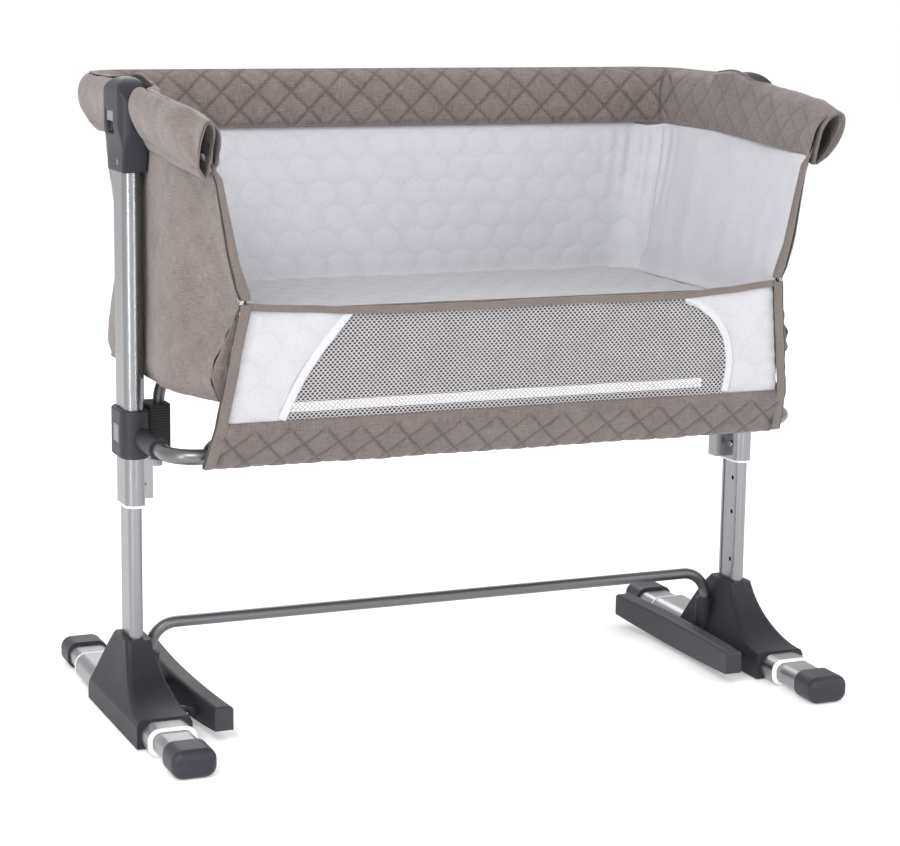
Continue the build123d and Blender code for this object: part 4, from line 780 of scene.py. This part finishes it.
# ---------------------------------------------------------------- mattress
def mattress():
    """Foam pad: remeshed, swollen by a cloth run, then quilted and piped."""
    half = (MATTRESS_REAR - MATTRESS_FRONT) / 2
    middle = (MATTRESS_REAR + MATTRESS_FRONT) / 2
    w = np.linspace(0, 2 * math.pi, 161)[:-1]
    cos, sin = np.cos(w), np.sin(w)
    power = 0.16
    px = MATTRESS_HALF * np.sign(cos) * np.abs(cos) ** power
    py = middle + half * np.sign(sin) * np.abs(sin) ** power
    levels = ((0.2, 0), (0.93, 0), (0.985, 0.05), (1, 0.2), (1, 0.5), (1, 0.8), (0.985, 0.95), (0.93, 1),
              (0.2, 1))
    rings = []
    for scale, t in levels:
        z = MATTRESS_LOW + 2 + (MATTRESS_HIGH - MATTRESS_LOW - 4) * t
        edge = scale if scale < 0.5 else 1 - (1 - scale) * 0.35
        rings.append(np.column_stack([px * edge, middle + (py - middle) * edge, np.full(len(w), z)]))
    grid = np.array(rings)
    count = len(w)
    faces = []
    for i in range(len(rings) - 1):
        for j in range(count):
            a, b = i * count + j, i * count + (j + 1) % count
            faces.append([a, b, b + count, a + count])
    verts = grid.reshape(-1, 3)
    mesh = bpy.data.meshes.new("mattress_start")
    ends = [list(range(count))[::-1], [(len(rings) - 1) * count + j for j in range(count)]]
    mesh.from_pydata((verts * MM).tolist(), [], faces + ends)
    mesh.update()
    pad = bpy.data.objects.new("mattress_pad", mesh)
    bpy.context.scene.collection.objects.link(pad)
    remesh = pad.modifiers.new("remesh", "REMESH")
    remesh.mode = "VOXEL"
    remesh.voxel_size = 0.006
    bake(pad)
    before = coords_of(pad)
    puff = pad.modifiers.new("cloth", "CLOTH")
    puff.settings.use_pressure = True
    puff.settings.uniform_pressure_force = 4.0
    puff.settings.effector_weights.gravity = 0.0
    puff.settings.quality = 5
    for step in range(1, 21):
        bpy.context.scene.frame_set(step)
    bake(pad)
    bpy.context.scene.frame_set(1)
    after = coords_of(pad)
    move = after - before
    size = np.linalg.norm(move, axis=1, keepdims=True)
    after = before + move * np.minimum(1, 5.0 / (size + 1e-9))
    set_coords(pad, after)
    divide = pad.modifiers.new("divide", "SUBSURF")
    divide.levels = divide.render_levels = 1
    bake(pad)
    p = coords_of(pad)
    nrm = np.zeros(len(p) * 3)
    pad.data.vertices.foreach_get("normal", nrm)
    nrm = nrm.reshape(-1, 3)
    top = smooth(nrm[:, 2], 0.5, 0.9)
    inside = smooth(MATTRESS_HALF - np.abs(p[:, 0]), 6, 30)
    inside = inside * smooth(half - np.abs(p[:, 1] - middle), 6, 30)
    puff_h, stitch_shade = cells(p[:, 0] + 400, p[:, 1] + 300)
    p = p + nrm * ((2.2 * puff_h - 1.6) * top * inside + 1.2 * noise(p, 60, 80) * top)[:, None]
    p[:, 2] = np.clip(p[:, 2], MATTRESS_LOW, MATTRESS_HIGH + 5)
    p[:, 0] = np.clip(p[:, 0], -MATTRESS_HALF - 3, MATTRESS_HALF + 3)
    p[:, 1] = np.clip(p[:, 1], MATTRESS_FRONT - 1.5, MATTRESS_REAR + 1.5)
    set_coords(pad, p)
    mesh = pad.data
    # painted shade along the quilting stitches on the top face
    mesh.attributes.new("stitch_shade", "FLOAT", "POINT").data.foreach_set(
        "value", (stitch_shade * top * inside * 0.6).astype(np.float32))
    layer = mesh.uv_layers.new(name="cloth")
    loops = np.zeros(len(mesh.loops), dtype=np.int32)
    mesh.loops.foreach_get("vertex_index", loops)
    uv = np.stack([p[:, 0], p[:, 1] + p[:, 2]], -1)
    layer.data.foreach_set("uv", (uv[loops] * MM).astype(np.float32).ravel())
    mesh.polygons.foreach_set("use_smooth", np.ones(len(mesh.polygons), dtype=bool))
    finish_piece(pad, COVER, "upper_frame", 0, ("mattress",))
    outline = [(-330, MATTRESS_FRONT), (MATTRESS_HALF, MATTRESS_FRONT), (MATTRESS_HALF, MATTRESS_REAR),
               (-MATTRESS_HALF, MATTRESS_REAR), (-MATTRESS_HALF, MATTRESS_FRONT), (-329, MATTRESS_FRONT)]
    edge = rounded(outline, (24, 24, 24, 24), 500)
    line = np.column_stack([edge, np.full(len(edge), MATTRESS_HIGH - 4.0)])
    roll("mattress_piping", line, 1.8, WHITE_TAPE, "upper_frame", 0.2)


def bake(obj):
    """Applies every modifier of the object."""
    graph = bpy.context.evaluated_depsgraph_get()
    mesh = bpy.data.meshes.new_from_object(obj.evaluated_get(graph))
    obj.modifiers.clear()
    obj.data = mesh


def coords_of(obj):
    p = np.zeros(len(obj.data.vertices) * 3)
    obj.data.vertices.foreach_get("co", p)
    return p.reshape(-1, 3) / MM


def set_coords(obj, p):
    obj.data.vertices.foreach_set("co", (p * MM).astype(np.float32).ravel())
    obj.data.update()


# ---------------------------------------------------------------- drop panel
def panel_point(x, z, lift=0.0):
    """A point of the hanging panel, lifted towards the front."""
    t = (HINGE_Z - z) / (HINGE_Z - PANEL_LOW_Z)
    y = HINGE_Y + (PANEL_LOW_Y - HINGE_Y) * t
    return np.stack([x, y - lift, z], -1)


def panel_half(z):
    return np.interp(z, (PANEL_LOW_Z, HINGE_Z), PANEL_HALF[::-1])


def panel_corner(side_name, window):
    """White quilted corner between the window and the side tape."""
    k = math.copysign(1, window[0][0])
    border = np.array(window)
    order = np.argsort(border[:, 1])
    z = np.linspace(414, 562, 70)
    inner = np.interp(z, border[order, 1], border[order, 0])
    over = z > 550
    inner = np.where(over, border[0, 0], inner)
    t = np.linspace(0, 1, 60)
    x = inner[:, None] + (k * (panel_half(z) - 1)[:, None] - inner[:, None]) * t[None]
    top = np.interp(x, TOP_EDGE_X, TOP_EDGE_Z)
    zz = 414 + (z[:, None] - 414) / (562 - 414) * (top - 414)
    flat = panel_point(x, zz)
    if k < 0:
        flat = flat[:, ::-1]
    puff, stitch_shade = cells(flat[..., 0] + 500, flat[..., 2])
    from_edge = np.abs(np.abs(flat[..., 0]) - panel_half(flat[..., 2]))
    edge_gather = np.sin(flat[..., 2] / 3.2) * np.exp(-from_edge / 16)
    shaped = flat.copy()
    shaped[..., 1] -= 0.9 * puff + 1.3 * noise(flat * [1, 1, 0.5], 38, 90) + 0.7 * edge_gather
    # painted shade along the cell stitches
    cloth(f"{side_name}_panel_corner", flat, shaped, CORNER, "front_panel", "mesh_fabric", "stretched",
          stitch_shade=0.35 * stitch_shade, thick=1.8, replaces=("front_panel",) if k < 0 else ())


def window_tape(side_name, window):
    line = spline(window, 60)
    line = line[line[:, 1] > 419]
    pts = panel_point(line[:, 0], line[:, 1], 1.9)
    across = unit(np.cross(unit(np.gradient(pts, axis=0)), [0, -1, 0.14]))
    strip(f"{side_name}_window_tape", pts, across, 10.4, ((0, -1, 0), 1.0), WHITE_TAPE, "front_panel",
          "mesh_fabric", thick=1.0)


def inside_window(x, z):
    left, right = (np.array(b)[::-1] for b in (WINDOW_LEFT, WINDOW_RIGHT))
    lo = np.interp(z, left[:, 1], left[:, 0])
    hi = np.interp(z, right[:, 1], right[:, 0])
    top = np.interp(x, TOP_EDGE_X, TOP_EDGE_Z)
    return (x > lo - 2) & (x < hi + 2) & (z < top + 1) & (z > 411)


def net():
    """Net with a real hole in each staggered cell."""
    rise = (NET_ROW ** 2 - (NET_PITCH / 2) ** 2) / (2 * NET_ROW)
    tip, flat_x = NET_ROW - rise, NET_PITCH / 2
    quarter = [(flat_x, rise), (flat_x / 2, (rise + tip) / 2), (0, tip)]
    outer = quarter + [(-a, b) for a, b in quarter[1::-1]]
    outer = np.array(outer + [(-a, -b) for a, b in outer])
    angle = np.arctan2(outer[:, 1] / NET_ROW, outer[:, 0] / flat_x)
    hole = np.stack([1.95 * np.cos(angle), 1.55 * np.sin(angle)], -1)
    n = len(outer)
    verts, faces = [], []
    rows = int(150 / NET_ROW)
    columns = int(660 / NET_PITCH)
    for j in range(rows):
        z = 412 + j * NET_ROW
        x = -330 + np.arange(columns) * NET_PITCH + (j % 2) * NET_PITCH / 2
        for cx in x[inside_window(x, np.full(len(x), z))]:
            base = len(verts)
            verts += [(cx + a, z + b) for a, b in outer]
            verts += [(cx + a, z + b) for a, b in hole]
            faces += [[base + i, base + (i + 1) % n, base + n + (i + 1) % n, base + n + i] for i in range(n)]
    flat = np.round(np.array(verts), 3)
    keep, index = np.unique(flat, axis=0, return_inverse=True)
    index = index.ravel()
    quads = index[np.array(faces)]
    sag = 1.5 * noise(np.column_stack([keep[:, 0], keep[:, 1], 0 * keep[:, 0]]), 90, 95)
    pts = panel_point(keep[:, 0], keep[:, 1], 1.2)
    pts[:, 1] += sag
    obj = mesh_object("panel_net", pts, quads, keep)
    finish_piece(obj, NET, "front_panel", 0.7, ())


def panel_edges():
    x = np.linspace(-360, 360, 200)
    z = np.interp(x, TOP_EDGE_X, TOP_EDGE_Z)
    z = np.convolve(np.pad(z, 6, mode="edge"), np.ones(13) / 13, mode="valid")
    line = panel_point(x, z + 0.5, 3.2)
    line[:, 2] += 0.7 * noise(line, 30, 97)
    strip("panel_top_binding", line, np.tile([0, 0.05, 1.0], (len(line), 1)), 8.0, ((0, -1, 0), 2.4), TAPE,
          "front_panel", "taupe_fabric", thick=1.4)
    for side_name, k in SIDES:
        z = np.linspace(566, 361, 90)
        x = np.interp(z, (355, 418, 568), (395, 386, 362))
        y = np.interp(z, (355, 416, 568), (-180, -208, -230))
        line = np.column_stack([k * x, y - 2.6, z])
        line[:, 0] += 0.8 * noise(line, 24, 98)
        across = np.tile([k, 0.25, 0.0], (len(line), 1))
        strip(f"{side_name}_panel_side_tape", line, unit(across), 15.0, ((0, -1, 0), 2.2), TAPE,
              "front_panel", "taupe_fabric", thick=1.4)
        cord = line + [k * 6.2, 0.6, 0]
        roll(f"{side_name}_panel_zip", cord, 1.5, ZIP_DARK, "front_panel", 0.35)
    x = np.linspace(-384, 384, 120)
    behind = np.column_stack([x, np.full(len(x), -202.5), np.full(len(x), 420.0)])
    strip("band_back_edge", behind, np.tile([0, 0.1, 1.0], (len(x), 1)), 14.0, ((0, -1, 0), 0.4), BAND_LINEN,
          "front_panel", "taupe_fabric", thick=1.0)


def band():
    """Quilted band wrapped round the drop rail."""
    section = spline(((-204, 404), (-206.5, 414), (-209, 418), (-210, 412), (-203, 398), (-191, 381),
                      (-181, 366), (-172, 358.5), (-163, 357), (-155, 361), (-151, 369), (-154, 379),
                      (-166, 388), (-186, 398), (-201, 408)), 110)
    u = np.linspace(-1, 1, 420)
    half = np.interp(section[:, 1], (356, 418), (394, 385))
    flat = np.zeros((len(section), len(u), 3))
    flat[..., 0] = half[:, None] * u[None]
    flat[..., 1] = section[:, 0][:, None]
    flat[..., 2] = section[:, 1][:, None]
    uu, vv = arc_uv(flat)
    row = np.arange(len(section))[:, None]
    front = np.broadcast_to(smooth(row, 12, 20) * (1 - smooth(row, 52, 60)), uu.shape)
    puff, stitch_shade = diamonds(uu - uu[:, -1:] / 2, vv, *BAND_DIAMOND)
    push = 3.0 * puff * front + 0.9 * noise(flat, 40, 101) * front
    centre = np.array([-172.0, 375.0])
    away = np.stack([0 * flat[..., 0], flat[..., 1] - centre[0], flat[..., 2] - centre[1]], -1)
    n = normals(flat)
    n = n * np.sign((n * away).sum(axis=-1, keepdims=True) + 1e-9)
    shaped = flat + n * push[..., None]
    # painted shade along the diamond stitches on the front face
    cloth("band_quilt", flat, shaped, BAND_LINEN, "front_panel", "taupe_fabric", "folded",
          rests_on=("front_rail",), replaces=("front_band",), stitch_shade=stitch_shade * front, thick=1.4)


# ---------------------------------------------------------------- stage
def area_light(name, place, target, size, energy):
    data = bpy.data.lights.new(name, "AREA")
    data.shape, data.size, data.energy = "DISK", size, energy
    lamp = bpy.data.objects.new(name, data)
    bpy.context.scene.collection.objects.link(lamp)
    lamp.location = place
    aim = np.array(target, float) - np.array(place, float)
    lamp.rotation_euler = Vector(aim).to_track_quat("-Z", "Y").to_euler()


def strip_light(name, place, target, wide, tall, energy):
    area_light(name, place, target, wide, energy)
    data = bpy.data.lights[name]
    data.shape, data.size_y = "RECTANGLE", tall


def stage():
    size = 300.0
    verts = np.array([(-size, -size, 0), (size, -size, 0), (size, size, 0), (-size, size, 0)]) / MM
    floor = mesh_object("floor", verts, np.array([[0, 1, 2, 3]]))
    floor.location.z = -0.0005
    g = Graph("floor")
    g.surface(Base_Color=(0.90, 0.90, 0.90, 1), Roughness=0.8, Specular_IOR_Level=0.1,
              Emission_Color=(1, 1, 1, 1), Emission_Strength=0.25)
    floor.data.materials.append(g.material)
    world = bpy.data.worlds.new("studio")
    world.use_nodes = True
    world.node_tree.nodes["Background"].inputs[0].default_value = (1.0, 1.0, 1.0, 1)
    world.node_tree.nodes["Background"].inputs[1].default_value = 0.85
    bpy.context.scene.world = world
    area_light("key", (-2.2, -2.8, 3.0), (0, 0, 0.5), 2.2, 95)
    area_light("fill", (3.2, -2.4, 1.8), (0, 0, 0.4), 2.4, 45)
    strip_light("post gleam", (-2.6, -1.5, 0.6), (-0.4, 0, 0.5), 0.14, 1.8, 22)
    strip_light("post gleam right", (0.1, -3.2, 0.6), (0.44, 0, 0.4), 0.14, 1.6, 16)
    area_light("back", (0.6, 3.0, 2.6), (0, 0, 0.5), 2.4, 40)
    bpy.context.scene.view_settings.view_transform = "Standard"


def camera():
    """Three-quarter view from the open side's left, slightly above."""
    azimuth, elevation, tilt = (math.radians(a) for a in (-22.932, 10.733, 0.775))
    distance, aim, lens = 3.319, np.array([0.00145, 0.0, 0.35938]), 98.91
    back = np.array([math.sin(azimuth) * math.cos(elevation), -math.cos(azimuth) * math.cos(elevation),
                     math.sin(elevation)])
    right = np.array([math.cos(azimuth), math.sin(azimuth), 0.0])
    up = np.cross(back, right)
    turned = math.cos(tilt) * right + math.sin(tilt) * up
    upright = -math.sin(tilt) * right + math.cos(tilt) * up
    data = bpy.data.cameras.new("camera")
    data.lens, data.sensor_width, data.sensor_fit = lens, 36.0, "HORIZONTAL"
    obj = bpy.data.objects.new("camera", data)
    bpy.context.scene.collection.objects.link(obj)
    matrix = np.eye(4)
    matrix[:3, 0], matrix[:3, 1], matrix[:3, 2] = turned, upright, back
    matrix[:3, 3] = aim + back * distance
    obj.matrix_world = Matrix(matrix.tolist())
    bpy.context.scene.camera = obj


paint_frame()
bag_front(bag_wall())
lining()
rim_rear()
rim_band()
for side, sign in SIDES:
    sleeve(side, sign)
    end_edge(side, sign)
mattress()
for side, boundary in (("left", WINDOW_LEFT), ("right", WINDOW_RIGHT)):
    panel_corner(side, boundary)
    window_tape(side, boundary)
net()
panel_edges()
band()
stage()
camera()
